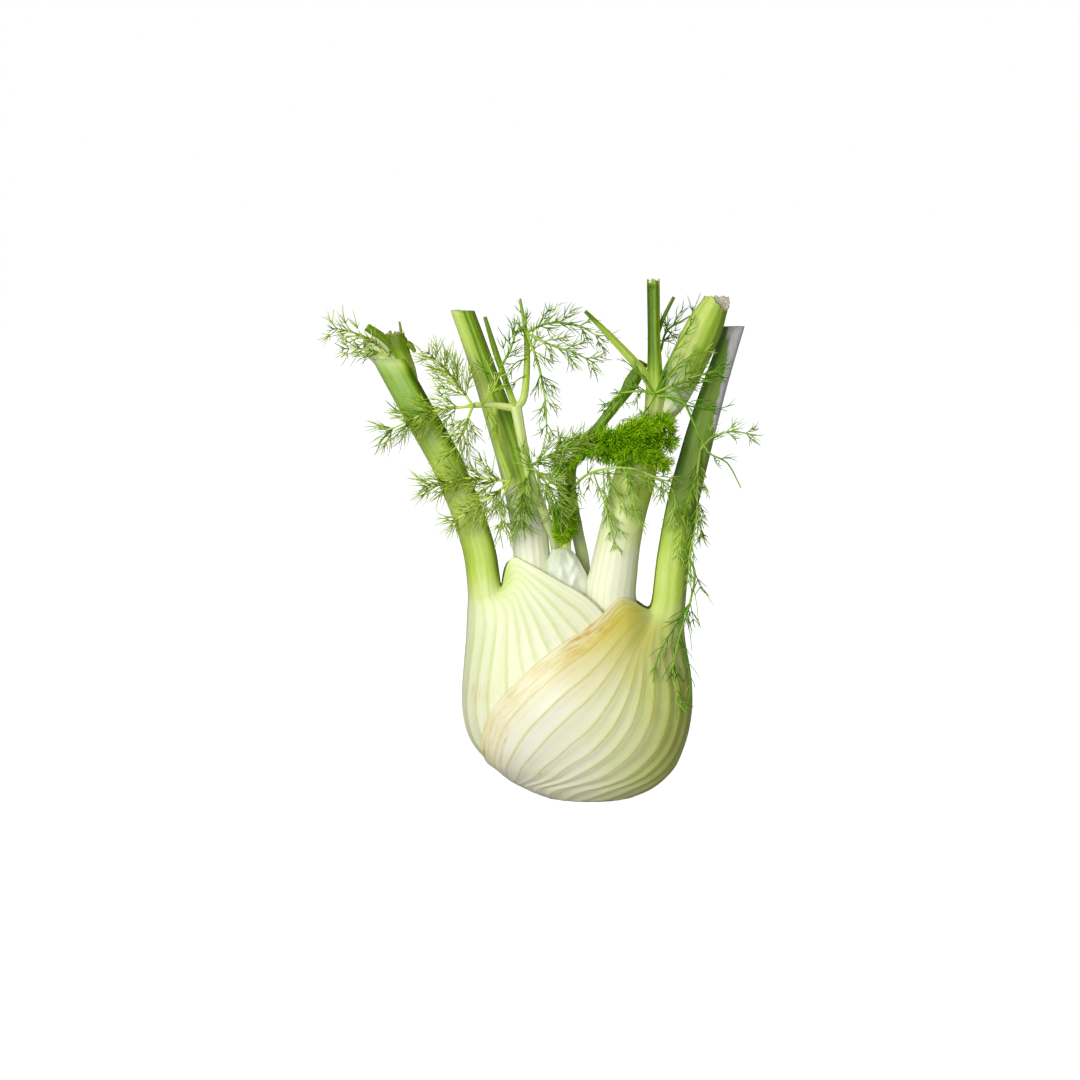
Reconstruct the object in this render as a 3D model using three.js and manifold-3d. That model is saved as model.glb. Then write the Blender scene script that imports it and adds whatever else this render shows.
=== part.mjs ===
// A Florence fennel bulb, trimmed for sale: a flattened bulb of clasping leaf bases, the cut
// stalks that rise from it, and the feathery leaves left on them. Millimetres, +Z up. The origin
// is the centre of the cut root face, which is flat and carries the bulb. The broad front of the
// bulb faces -Y, and the outermost leaf's stalk stands on the +X side.
import * as THREE from "three";
import { mergeVertices } from "three/addons/utils/BufferGeometryUtils.js";
import Module from "manifold-3d";

const wasm = await Module();
wasm.setup();

// ---- driving dimensions ------------------------------------------------------------------

const GAP = 0.35;                 // clearance kept between pieces that touch
const SMALLEST_EDGE = 0.02;       // shorter edges are closed up after a cut
const CARVE_REACH = 9;            // how far outside a sheath its carving shape stands
const CARVE_WIDTH = 1.03;         // and how much wider it is

const ROUNDNESS = 2.2;            // exponent of the bulb's cross-section, 2 is an ellipse

// The bulb by height: left side, right side, half depth, and how far its face leans down.
const BULB = [
  [0, -17.6, 17.6, 12.8, 76], [3, -25.3, 25, 17, 62], [6, -30.5, 29.8, 20.5, 52],
  [12, -38, 35.6, 25.5, 38], [17, -44.5, 38.4, 28.5, 28], [24, -50.2, 41, 31.5, 17],
  [32, -53.2, 42.8, 33.4, 9], [42, -54.3, 43.7, 34, 2], [54, -53.6, 42.8, 32.4, -5],
  [68, -52.4, 40, 28, -14], [78, -51.8, 38.6, 23, -22], [88, -50.5, 34, 18, -30],
  [98, -46, 24, 14.5, -38], [108, -41, 12, 11, -44],
];

// Veins of a sheath, from the root to the stalk: angle from the middle of the leaf, then height.
// The first is the middle vein and the last is the free edge.
const RIGHT_VEINS = [
  [[0, 2], [0, 9], [0, 19], [0, 32], [0, 47], [0, 60], [0, 71], [0, 79]],
  [[62, 2], [49, 10], [41, 21], [39, 34], [39, 47], [41, 59], [44, 70], [49, 78]],
  [[128, 2], [110, 10], [95, 20], [82, 32], [73, 44], [65, 57], [57, 69], [50.5, 78]],
  [[196, 2.4], [180, 11], [153, 22], [133, 42], [110, 60], [84, 76], [62, 88], [51, 80]],
];
const LEFT_VEINS = [
  [[0, 4], [0, 14], [0, 27], [0, 42], [0, 56], [0, 68], [0, 79], [0, 88]],
  [[60, 4], [50, 16], [43, 30], [41, 45], [42, 58], [44, 70], [46, 81], [49, 88]],
  [[115, 4], [104, 19], [94, 35], [86, 52], [78, 68], [69, 83], [58, 94], [49.5, 89]],
  [[168, 4], [147, 21], [127, 42], [110, 65], [97, 85], [78, 96], [57, 104], [49, 90]],
];
const BACK_REACH = 0.82;          // the back half of a sheath wraps this much of the front half
const RIBS = 20;                  // ribs on one outer sheath, from edge to edge
const GROOVE = 0.55;              // depth of the grooves between the ribs
const DRAW_IN = 0.7;              // share of its height where a sheath starts to turn into a stalk
const DRAW_IN_DELAY = 0.16;       // and how much later its edges do
const SHEATH_ROWS = [0, 0.09, 0.2, 0.33, 0.46, 0.6, 0.74, 0.85, 0.93, 1];

// Cut stalks: centre, half width across the leaf, half depth.
const RIGHT_STALK = [
  [32.2, 0, 78, 8, 12.4], [33.3, 0.8, 92.3, 7.9, 10.4], [35, 2, 104.9, 7.9, 9.4],
  [38.7, 4, 125.9, 7.5, 8.4], [43.4, 6, 144.3, 7.1, 8], [46.4, 8, 155.1, 6.8, 7.7],
  [50.2, 10, 167.6, 6.2, 7.3], [54, 12, 179.3, 5.6, 6.9], [61.4, 14, 201.5, 4.8, 6.2],
];
const LEFT_STALK = [
  [-43.6, -1, 87, 8, 12.2], [-44.5, -1, 98.9, 7.9, 10.6], [-47, 0, 109.4, 7.7, 9.6],
  [-50.4, 0, 119.9, 7.5, 9], [-54.6, 1, 130.4, 7.5, 8.6], [-59.6, 1, 142.2, 7.5, 8.3],
  [-65, 1, 152.2, 7.5, 8.1], [-71.3, 2, 163.1, 7.4, 8], [-77.5, 2, 174.4, 7.3, 7.8],
  [-86.5, 3, 190.8, 7.2, 7.6],
];
const RIGHT_TOP = 198.4;          // level cuts across the stalks
const LEFT_TOP = 185.6;
const INNER_LEFT_TOP = 205.4;
const STALK_ROWS = 6;             // steps up a stalk
const STALK_POWER = 0.8;          // below 1 it fills out the corners of a stalk's section
const CORNER = 140;               // angle from a stalk's back to the edge of its channel
const CORNER_INSET = [0.5, 0.8];  // how far the channel's edges stand in, inwards and sideways
const CHANNEL = 3.2;              // depth of the channel on a stalk's inner side
const MIDDLE_SHARE = 0.7;         // share of a stalk's back that the middle third of its ribs takes

// The leaf bases inside and the stems, as stations: centre, half width, half depth.
const INNER_RIGHT = [
  [14.5, 0, 13, 7, 7], [18, 0, 24, 14.5, 15], [18.5, 0, 38, 16.5, 18.5],
  [16, -1, 54, 15.8, 16.5], [11.5, -3, 68, 12.5, 12.5], [8.6, -6, 84.7, 10.9, 9.8],
  [9.9, -7, 97.5, 10, 9], [12, -8, 110.2, 9.2, 8.6], [14.8, -8, 122.8, 8.8, 8.2],
  [18.1, -8, 135.3, 8.8, 8], [21.8, -8, 147.9, 7.4, 7.2], [26.8, -8, 158.3, 5.6, 6],
];
const THICK_BRANCH = [
  [24, -8, 153, 4.6, 5], [27.8, -8, 161.5, 5.4, 6], [33.4, -7, 170.6, 7.4, 7],
  [41.8, -6, 187.3, 7.8, 7.2], [47.4, -5, 199, 7.6, 7], [52.4, -4, 209.2, 5.6, 6.2],
];
const UPRIGHT_BRANCH = [
  [25.2, -9, 153, 3.4, 3.4], [26.6, -12.5, 169, 4.2, 3.8], [26.4, -14.6, 183, 3.2, 3.1],
  [26, -15.4, 196, 2.7, 2.7], [25.6, -16, 218.3, 2.7, 2.7],
];
const LEANING_BRANCH = [
  [26.4, -13.4, 172.5, 2.2, 2.2], [20.7, -15, 181.5, 2.1, 2.1], [8.6, -16.4, 194.7, 1.6, 1.6],
  [-2.5, -18, 205.8, 0.8, 0.8],
];
const SIDE_STEM = [
  [26.2, -14.6, 192, 1, 1], [29.4, -13.2, 201.6, 0.9, 0.9], [34.2, -12, 211.4, 0.7, 0.7],
];
const INNER_LEFT = [
  [-15.5, 0, 13, 6, 7], [-22, 0, 24, 11, 15], [-24.5, 0, 38, 13, 18.5],
  [-24.5, -1, 54, 13, 16.5], [-23.8, -1, 68, 11.3, 13], [-23.4, -1.2, 80, 8.9, 10.3],
  [-23.8, -1.6, 95, 7.9, 8.2], [-25.6, -2, 113.8, 7.7, 7.6], [-27.7, -2, 126.4, 7.4, 7],
  [-31, -1, 138.9, 7, 6.6], [-34.8, 0, 151.5, 6.6, 6.2], [-39, 1, 164, 6, 5.9],
  [-43.2, 2, 176.5, 5.4, 5.6], [-48.2, 3, 191, 5, 5.2], [-54.4, 4, 208, 4.7, 4.9],
];
const HOOD = [
  [-4.2, 0, 18, 3, 7], [-5, 0, 38, 4, 12], [-7.2, -2, 62, 4, 10], [-8.4, -4, 80, 6.2, 6],
  [-9.8, -6.4, 90, 8.8, 5], [-10, -6.6, 98, 8.6, 4.8], [-10.4, -6, 103.4, 7, 4.2],
  [-10.8, -5.4, 106.6, 3.2, 2.6],
];
const HOOD_STEM = [
  [-10.2, -5.6, 100, 2.4, 2.2], [-10.2, -5, 109, 2.4, 2.3], [-9.4, -3.6, 120, 2.4, 2.2],
  [-8.6, -3, 126, 3.1, 2.6], [-7.6, -3, 133, 1.8, 1.6],
];
const SLENDER = [
  [-5, 4, 14, 2.4, 2.4], [-5, 6, 40, 2.6, 2.6], [-4.6, 6.5, 66, 2.6, 2.4],
  [-3.4, 6.5, 80, 2.6, 2.4], [-2.6, 6, 92, 2.9, 2.6], [-2.9, 5.4, 100.6, 2.8, 2.5],
  [-5.4, 6, 113.1, 2.7, 2.4], [-7.9, 6, 129.9, 2.4, 2.2], [-6.4, 6, 143.5, 2.2, 2.1],
  [4.2, 5.6, 157.4, 2.2, 2.1], [13.4, 5, 169, 2.3, 2.2], [17.6, 5, 175.6, 3.2, 2.8],
  [22.5, 4.6, 183.9, 2.2, 2],
];
const FORKED = [
  [-13, 2.4, 92, 2, 1.9], [-13.8, 1.6, 100, 2, 1.9], [-15.3, -3.4, 110, 2, 2],
  [-18.6, -10.6, 119.6, 2.1, 2],
  [-24.7, -12.4, 135.7, 2.1, 2], [-27.6, -12.4, 148.2, 2.1, 2], [-31, -12.4, 166.4, 2.5, 2.3],
];
const FORKS = [
  [[-30.6, -12.4, 165.4, 1.7, 1.7], [-40, -12.6, 166.9, 1.4, 1.4], [-48.3, -15, 167, 1.2, 1.2]],
  [[-31, -12.4, 165, 1.5, 1.5], [-35.6, -11.4, 177.9, 1.3, 1.3], [-39.6, -10, 189.5, 1.3, 1.3],
    [-43.8, -8, 203.1, 0.8, 0.8]],
  [[-31, -12.4, 165.4, 1.6, 1.6], [-27.4, -11.4, 171.3, 1.6, 1.6],
    [-26.4, -9.4, 191.5, 1.3, 1.3], [-29, -7, 210.1, 0.9, 0.9]],
  [[-39.6, -12.6, 167.2, 1.2, 1.2], [-39, -12.4, 153.2, 1.2, 1.2],
    [-33.2, -12.8, 136.8, 1.3, 1.3]],
];
// The torn young leaf that stands in the channel of the left stalk.
const SHOOT = [
  [-73.6, 2.2, 175, 1.4, 2], [-75.6, 2, 181, 2.2, 3], [-78.6, 1, 186.6, 3.4, 3.6],
  [-80.4, 0.4, 190.6, 4.4, 3.8], [-81.2, 0, 193.6, 4.2, 3.4], [-81.2, 0, 195.8, 3.4, 2.6],
];
const SHOOT_HOOK = [
  [-79.6, 0, 190, 2.4, 2], [-75.8, -0.6, 191.4, 1.7, 1.5], [-73, -1, 188.4, 0.7, 0.7],
];
const SHOOT_STEM = [
  [-82.6, 0, 189.6, 2.2, 2], [-87.6, -1, 194.8, 2.1, 1.9], [-93.2, -2, 198.8, 1.7, 1.5],
];
const SHOOT_TIP = [[-79, 0, 193, 0.9, 0.8], [-79, 0, 197, 0.7, 0.6], [-79.6, 0, 201, 0.4, 0.4]];
const ROWS_PER_STATION = 1.1;
const ROOT_PLATE = [
  [0, 0, 0, 16.4, 12.2], [0, 0, 4, 16.2, 12], [0, 0, 8, 15, 11], [0, 0, 9.8, 12.5, 9],
];

// Fronds: midribs with their side sprigs. A rib has its route, how many sprigs it carries, how
// far they reach and how far they spread from it in degrees.
const FRONDS = [
  { name: "frond_left_top", colour: 0x6fa81e, seed: 11, ribs: [
    { route: [[-84.4, -4.6, 187.2], [-91, -5.6, 193.4], [-100, -5, 197], [-108, -5, 198.4]],
      sprigs: 9, reach: 11, spread: 52 },
    { route: [[-84.4, -4.6, 187], [-93, -7, 189.6], [-103, -8, 190]],
      sprigs: 6, reach: 9, spread: 50 },
  ] },
  { name: "frond_left_upper", colour: 0x5b9416, seed: 12, ribs: [
    { route: [[-48.8, -17.4, 167], [-56, -17, 177.4], [-66, -17.5, 188]],
      sprigs: 8, reach: 13, spread: 48 },
    { route: [[-48.8, -17.4, 166.8], [-66, -18.5, 164.4], [-85, -21, 156]],
      sprigs: 8, reach: 14, spread: 46 },
    { route: [[-48.8, -17.4, 166.6], [-52.5, -18, 157], [-57, -19.5, 147]],
      sprigs: 6, reach: 11, spread: 48 },
  ] },
  { name: "frond_left_lower", colour: 0x6aa022, seed: 13, ribs: [
    { route: [[-33.6, -14.8, 135.4], [-50, -17, 136.9], [-68.6, -18.5, 133.7]],
      sprigs: 9, reach: 12, spread: 48 },
    { route: [[-33.6, -14.8, 135.2], [-43, -17, 127.7], [-57.2, -18.6, 119]],
      sprigs: 8, reach: 11, spread: 46 },
    { route: [[-34, -14.8, 134.6], [-37.4, -15, 125.4], [-36.5, -15, 115.4]],
      sprigs: 4, reach: 7, spread: 40 },
  ] },
  { name: "frond_airy", colour: 0x5c9a1a, seed: 14, ribs: [
    { route: [[-26.4, -11.7, 196.5], [-16.9, -11.4, 191.8], [-6.5, -11.4, 188.3], [2, -12.5, 184]],
      sprigs: 6, reach: 12, spread: 42 },
    { route: [[-26.4, -11.7, 197], [-16.9, -8, 200.6], [-4.4, -6, 199.2], [5.8, -5, 193]],
      sprigs: 7, reach: 11, spread: 42 },
    { route: [[-26.4, -11.7, 196], [-21.8, -14, 184], [-18.9, -15, 169.1], [-18.1, -15, 154.6]],
      sprigs: 8, reach: 10, spread: 38 },
  ] },
  { name: "frond_dark", colour: 0x3f7412, seed: 15, ribs: [
    { route: [[-37, -13.5, 183], [-33.4, -14.6, 189.5], [-30.6, -15, 198]],
      sprigs: 6, reach: 8, spread: 42 },
    { route: [[-37, -13.5, 182.4], [-39, -15.6, 177], [-43.4, -17, 186]],
      sprigs: 5, reach: 8, spread: 46 },
  ] },
  { name: "frond_centre", colour: 0x4f8a18, seed: 16, ribs: [
    { route: [[-25.4, -15.7, 141.5], [-17, -16.6, 146.6], [-3, -13.5, 151.4]],
      sprigs: 9, reach: 12, spread: 52 },
    { route: [[-25.4, -15.7, 140.9], [-28.6, -17.4, 128.6], [-29.3, -17.4, 117]],
      sprigs: 8, reach: 10, spread: 50 },
    { route: [[-25.2, -15.7, 141.2], [-17.7, -17.6, 134], [-12.7, -17.4, 122]],
      sprigs: 8, reach: 10, spread: 50 },
  ] },
  { name: "frond_young", colour: 0x3f7c14, seed: 17, ribs: [
    { route: [[-12.4, -7.6, 108.4], [-14, -9.4, 115], [-14.2, -10, 122.4]],
      sprigs: 8, reach: 4.6, spread: 55 },
    { route: [[-12.2, -7.6, 108.6], [-8.4, -9.6, 114.7], [-8.2, -10, 122]],
      sprigs: 8, reach: 4.6, spread: 55 },
  ] },
  { name: "frond_fluffy", colour: 0x57a00c, seed: 18, ribs: [
    { route: [[-1.2, 3, 150.6], [2.4, -9, 150.6], [9, -19.5, 153], [22, -21, 154.6],
      [33.6, -19.5, 152]], sprigs: 22, reach: 9, spread: 62 },
    { route: [[9, -19.5, 153], [20, -24, 148.6], [31, -22, 143]],
      sprigs: 14, reach: 8, spread: 62 },
    { route: [[2.4, -9, 150.6], [10, -13.6, 146], [14, -21, 146]],
      sprigs: 8, reach: 8, spread: 62 },
    { route: [[9, -19.5, 153], [21, -25, 158], [32, -23, 160]],
      sprigs: 10, reach: 8, spread: 62 },
  ] },
  { name: "frond_arched", colour: 0x8cbb3c, seed: 19, ribs: [
    { route: [[-7.8, -6.1, 131.4], [-0.6, -14.6, 138.6], [13.2, -20.6, 141.6],
      [24.2, -20, 138.7], [34, -15.4, 131.6], [36.6, -12.4, 120]],
      sprigs: 16, reach: 15, spread: 66, droop: 0.7 },
  ] },
  { name: "frond_node", colour: 0x6dab2a, seed: 20, ribs: [
    { route: [[26.6, -17.9, 172], [20.1, -19.6, 173], [11.9, -20, 171.8], [5.8, -18, 166]],
      sprigs: 6, reach: 10, spread: 50, droop: 0.4 },
    { route: [[26.8, -17.9, 172.3], [40.6, -19.4, 178.4], [53.4, -17, 181.4]],
      sprigs: 7, reach: 11, spread: 42 },
    { route: [[27.6, -17.9, 171], [36.5, -18.6, 170], [42.8, -16.4, 159], [48.9, -12, 147.3],
      [57, -7, 142.3], [63, -7, 131.6]], sprigs: 9, reach: 11, spread: 46 },
  ] },
  { name: "frond_behind", colour: 0x4f8f18, seed: 21, ribs: [
    { route: [[28.8, -12.2, 189], [31.8, -4, 197.4], [38, 2, 201], [45, 6, 205]],
      sprigs: 8, reach: 9, spread: 50 },
  ] },
  { name: "frond_right", colour: 0x84b83a, seed: 22, ribs: [
    { route: [[46, -2.4, 147.6], [50.6, -5.4, 152.8], [58, -6, 155.4], [68.4, -5, 154]],
      sprigs: 6, reach: 9, spread: 40 },
    { route: [[46, -2.4, 147.4], [44.6, -6.6, 138], [44.6, -9, 126], [46.6, -9.4, 112]],
      sprigs: 12, reach: 11, spread: 36, droop: 0.5 },
  ] },
  { name: "frond_hanging", colour: 0x5f9e2c, seed: 23, ribs: [
    { route: [[39.6, -7.4, 106], [43.4, -11.4, 97], [41, -16.6, 84], [36.4, -22, 70],
      [34, -27.4, 56], [38, -29.6, 42]], sprigs: 10, reach: 11, spread: 34, droop: 0.6 },
  ] },
];
const RIB_RADIUS = 0.75;          // a midrib's radius at its root
const RIB_TIP = 0.42;             // and at its tip
const FIRST_PAIR = 0.8;           // how far up the first pair of sprigs stands, in steps of a pair
const SPRIG_RADIUS = 0.52;
const SPRIG_THINNING = 0.35;      // share of its radius that a sprig loses on its way
const SPRIG_TAPER = 0.45;         // how much shorter the sprigs at a rib's tip are
const WHORL_SPACING = 3.6;        // between the whorls of needles on a sprig
const NEEDLE_RADIUS = 0.46;
const NEEDLE_SPREAD = 36;         // degrees from its sprig
const NEEDLE_SHORTEST = 1.5;      // a needle is this long, and a share of what is left of its sprig
const NEEDLE_SHARE = 0.62;

const COLOURS = {
  rootPlate: 0xd8d2b0, rightLeaf: 0xe9ecd2, leftLeaf: 0xe2ecc8, innerRight: 0xe4eebf,
  innerLeft: 0xc6d98a, hood: 0xe8efe0, slender: 0x6a9f2c, forked: 0xcfe09c, shoot: 0x8a9a2e,
};

const SLICE = 2.5;                // the stems are checked for room in slices of this height
const CHECK_STEP = 1.2;           // and a needle at points this far apart
const NEAR_ROOT = 1.65;           // needles of one frond may touch this near to where they start

// ---- small helpers -----------------------------------------------------------------------

const radians = THREE.MathUtils.degToRad;
const smoothstep = THREE.MathUtils.smoothstep;
const FRONT = new THREE.Vector3(0, -1, 0);
const BACK = new THREE.Vector3(0, 1, 0);
const DOWN = new THREE.Vector3(0, 0, -1);

// The same sequence of numbers from 0 to 1 for the same seed.
function randomFrom(seed) {
  let state = seed * 7919 + 17;
  return () => {
    state = (state * 16807) % 2147483647;
    return state / 2147483647;
  };
}

// A factor that strays from 1 by up to a share.
function vary(random, share) {
  return 1 + share * (2 * random() - 1);
}

// A smooth curve through equally spaced lists of numbers, at t from 0 to 1.
function through(lists, t) {
  const last = lists.length - 1;
  const place = t * last;
  const i = THREE.MathUtils.clamp(Math.floor(place), 0, last - 1);
  const f = place - i;
  const before = lists[Math.max(i - 1, 0)];
  const after = lists[Math.min(i + 2, last)];
  return lists[i].map((a, k) => {
    const b = lists[i + 1][k];
    const p = i > 0 ? before[k] : 2 * a - b;
    const q = i < last - 1 ? after[k] : 2 * b - a;
    return a + 0.5 * f * (b - p + f * (2 * p - 5 * a + 4 * b - q + f * (3 * (a - b) + q - p)));
  });
}

// The row of a table at x, its first column. Straight between rows would leave creases.
function tableAt(table, x) {
  const last = table.length - 1;
  const inside = THREE.MathUtils.clamp(x, table[0][0], table[last][0]);
  let i = 0;
  while (i < last - 1 && inside > table[i + 1][0]) i += 1;
  const slope = (k, j) => {
    const a = table[Math.max(j - 1, 0)];
    const b = table[Math.min(j + 1, last)];
    return (b[k] - a[k]) / (b[0] - a[0]);
  };
  const h = table[i + 1][0] - table[i][0];
  const f = (inside - table[i][0]) / h;
  return table[i].map((a, k) => {
    const b = table[i + 1][k];
    const rise = f * f * (3 - 2 * f);
    return a + (b - a) * rise
      + h * f * (1 - f) * ((1 - f) * slope(k, i) - f * slope(k, i + 1));
  });
}

function solidOf(geometry) {
  const bare = geometry.clone();
  bare.deleteAttribute("normal");
  bare.deleteAttribute("uv");
  const merged = mergeVertices(bare, 1e-4);
  return new wasm.Manifold(new wasm.Mesh({
    numProp: 3,
    vertProperties: new Float32Array(merged.attributes.position.array),
    triVerts: new Uint32Array(merged.index.array),
  }));
}

function geometryOf(solid) {
  const mesh = solid.getMesh();
  const geometry = new THREE.BufferGeometry();
  geometry.setAttribute("position", new THREE.BufferAttribute(mesh.vertProperties, 3));
  geometry.setIndex(new THREE.BufferAttribute(mesh.triVerts, 1));
  return geometry;
}

// The largest body of a solid, with tiny edges closed up.
function largestBody(solid) {
  const bodies = solid.simplify(SMALLEST_EDGE).decompose();
  return bodies.reduce((best, body) => (body.volume() > best.volume() ? body : best));
}

// A closed skin over rings of points, all of one length. The caps are lists of corner triples.
function skin(rings, startCap, endCap) {
  const size = rings[0].length;
  const base = (rings.length - 1) * size;
  const index = [];
  for (let r = 0; r + 1 < rings.length; r += 1) {
    for (let c = 0; c < size; c += 1) {
      const a = r * size + c;
      const b = r * size + ((c + 1) % size);
      index.push(a, b, b + size, a, b + size, a + size);
    }
  }
  startCap.forEach(([a, b, c]) => index.push(a, c, b));
  endCap.forEach(([a, b, c]) => index.push(base + a, base + b, base + c));
  const geometry = new THREE.BufferGeometry();
  const flat = rings.flat().flatMap((point) => [point.x, point.y, point.z]);
  geometry.setAttribute("position", new THREE.Float32BufferAttribute(flat, 3));
  geometry.setIndex(index);
  return geometry;
}

// ---- stems -------------------------------------------------------------------------------

// A stem's centre line with its half width and half depth, and the two directions across it.
function stemAt(stations, t) {
  const [x, y, z, across, deep] = through(stations, t);
  const ahead = through(stations, Math.min(t + 0.01, 1));
  const behind = through(stations, Math.max(t - 0.01, 0));
  const along = new THREE.Vector3(...ahead).sub(new THREE.Vector3(...behind)).normalize();
  const side = new THREE.Vector3().crossVectors(along, FRONT).normalize();
  const front = new THREE.Vector3().crossVectors(side, along);
  return { centre: new THREE.Vector3(x, y, z), across, deep, side, front };
}

function stem(stations, sides, grow = 0) {
  const rows = Math.round(ROWS_PER_STATION * stations.length);
  const rings = [];
  for (let row = 0; row <= rows; row += 1) {
    const at = stemAt(stations, row / rows);
    rings.push(Array.from({ length: sides }, (_, i) => {
      const turn = (2 * Math.PI * i) / sides;
      return at.centre.clone()
        .addScaledVector(at.side, (at.across + grow) * Math.cos(turn))
        .addScaledVector(at.front, -(at.deep + grow) * Math.sin(turn));
    }));
  }
  const fan = Array.from({ length: sides - 2 }, (_, i) => [0, i + 1, i + 2]);
  return solidOf(skin(rings, fan, fan));
}

// ---- outer leaves ------------------------------------------------------------------------

// A point on the bulb at an angle from +X towards the front, sunk below its face by an inset.
function bulbPoint(angle, height, inset) {
  const [, left, right, depth, lean] = tableAt(BULB, height);
  const level = inset * Math.cos(radians(lean));
  const bend = (value) => Math.sign(value) * Math.abs(value) ** (2 / ROUNDNESS);
  return new THREE.Vector3(
    (left + right) / 2 + ((right - left) / 2 - level) * bend(Math.cos(radians(angle))),
    -(depth - level) * bend(Math.sin(radians(angle))),
    height + inset * Math.sin(radians(lean)),
  );
}

// Angle and height on a sheath: u runs across it from its back edge, -1, to its front edge, 1.
function veinPoint(veins, u, v) {
  const reach = THREE.MathUtils.lerp(BACK_REACH, 1, v * v);
  const back = veins.slice(1).reverse().map((vein) => vein.map(([a, z]) => [-a * reach, z]));
  const across = [...back, ...veins].map((vein) => through(vein, v));
  return through(across, (u + 1) / 2);
}

// The share of a stalk's back that a vein at u keeps to: the outer ones crowd at its corners.
function arcShare(u) {
  const beyond = Math.max(Math.abs(u) - 1 / 3, 0) * 1.5;
  const share = 3 * MIDDLE_SHARE * Math.min(Math.abs(u), 1 / 3) + (1 - MIDDLE_SHARE) * beyond;
  return Math.sign(u) * share;
}

// A stalk's skin: its ribbed outer arc, and its inner face with the channel.
function stalkPoint(leaf, u, t, isOuter, sink) {
  const at = stemAt(leaf.stalk, t);
  const bend = (value) => Math.sign(value) * Math.abs(value) ** STALK_POWER;
  const corner = radians(CORNER);
  const [inset, sideInset] = CORNER_INSET;
  let out = (at.across - inset - sink) * bend(Math.cos(corner)) + (CHANNEL + sink) * (1 - u * u);
  let forward = (at.deep - sideInset - sink) * bend(Math.sin(corner)) * u;
  if (isOuter) {
    const turn = corner * arcShare(u);
    out = (at.across - sink) * bend(Math.cos(turn));
    forward = (at.deep - sink) * bend(Math.sin(turn));
  }
  return at.centre.clone()
    .addScaledVector(at.side, out * leaf.facing)
    .addScaledVector(at.front, forward);
}

// A point of a sheath's outer or inner face, drawn over to its stalk's foot near the top.
function sheathPoint(leaf, u, v, isOuter, sink) {
  const [angle, height] = veinPoint(leaf.veins, u, v);
  const turned = leaf.facing > 0 ? angle : 180 - angle;
  const size = Math.abs(u);
  const proud = leaf.proud * smoothstep(size, 0.6, 0.9);
  const wall = isOuter ? 0 : leaf.wall(size, v);
  const onBulb = bulbPoint(turned, height, wall + sink - proud);
  const foot = stalkPoint(leaf, u, 0, isOuter, sink);
  return onBulb.lerp(foot, smoothstep(v, DRAW_IN + DRAW_IN_DELAY * size, 1));
}

// Rings up a whole leaf. Every other outer point stands in a groove, which fades out where the
// ribs crowd together at the edges of the stalk.
function leafRings(leaf, outerColumns, innerColumns, outerSink, innerSink) {
  const column = (i, count) => ((2 * i) / count - 1) * (i % count ? 1 : leaf.reach);
  const groove = (u, v, i) => {
    const crowded = 1 - 0.9 * v ** 4 * smoothstep(Math.abs(u), 0.25, 0.45);
    return outerSink + (i % 2 ? 0 : leaf.groove * crowded);
  };
  const ring = (point, v) => {
    const outer = Array.from({ length: outerColumns + 1 }, (_, i) => {
      const u = column(i, outerColumns);
      return point(u, true, groove(u, v, i));
    });
    const inner = Array.from({ length: innerColumns + 1 }, (_, i) => (
      point(column(innerColumns - i, innerColumns), false, innerSink)));
    return [...outer, ...inner];
  };
  const rings = SHEATH_ROWS.map((v) => (
    ring((u, isOuter, sink) => sheathPoint(leaf, u, v, isOuter, sink), v)));
  for (let row = 1; row <= STALK_ROWS; row += 1) {
    const t = row / STALK_ROWS;
    rings.push(ring((u, isOuter, sink) => stalkPoint(leaf, u, t, isOuter, sink), 1));
  }
  return rings;
}

// Corner triples between a ring's outer points and its fewer inner points.
function zip(outerColumns, innerColumns) {
  const step = outerColumns / innerColumns;
  const inner = (i) => outerColumns + 1 + innerColumns - i;
  const triples = [];
  for (let i = 0; i < innerColumns; i += 1) {
    for (let k = 0; k < step; k += 1) {
      triples.push([i * step + k, i * step + k + 1, inner(k < step / 2 ? i : i + 1)]);
    }
    triples.push([i * step + Math.ceil(step / 2), inner(i + 1), inner(i)]);
  }
  return triples;
}

function sheathLeaf(leaf, outerSink = 0, innerSink = 0) {
  const outerColumns = 2 * RIBS;
  const innerColumns = RIBS;
  const rings = leafRings(leaf, outerColumns, innerColumns, outerSink, innerSink);
  const cap = zip(outerColumns, innerColumns);
  const geometry = skin(rings, cap, cap);
  if (leaf.facing > 0) {
    const order = geometry.index.array;
    for (let i = 0; i < order.length; i += 3) {
      [order[i], order[i + 1]] = [order[i + 1], order[i]];
    }
  }
  return solidOf(geometry);
}

const RIGHT_LEAF = {
  facing: 1, reach: 1, veins: RIGHT_VEINS, stalk: RIGHT_STALK, proud: 1.3, groove: GROOVE,
  wall: (size) => 0.9 + 2.5 * (1 - smoothstep(size, 0.6, 0.92))
    + 3.6 * (1 - smoothstep(size, 0.1, 0.35)),
};
const LEFT_LEAF = {
  facing: -1, reach: 1, veins: LEFT_VEINS, stalk: LEFT_STALK, proud: 0, groove: GROOVE,
  wall: (size, v) => 7.4 - 6 * smoothstep(size, 0.82, 1) * smoothstep(v, 0.4, 0.7),
};
// What a sheath and all that lies outside it take up, with the clearance added.
function carvingShape(leaf) {
  return sheathLeaf({ ...leaf, groove: 0, reach: CARVE_WIDTH }, -CARVE_REACH, GAP);
}

function carved(solid, ...cutters) {
  return largestBody(cutters.reduce((rest, cutter) => rest.subtract(cutter), solid));
}

// A level cut: a block larger than the whole bulb takes away all that stands above it.
function levelCut(solid, height) {
  const block = new THREE.BoxGeometry(300, 300, 100);
  block.translate(0, 0, height + 50);
  return solid.subtract(solidOf(block));
}

// ---- fronds ------------------------------------------------------------------------------

const stemSlices = [];            // slices of every stem, which the fronds keep clear of
const needles = [];               // and every needle so far, with its frond's name

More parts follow.
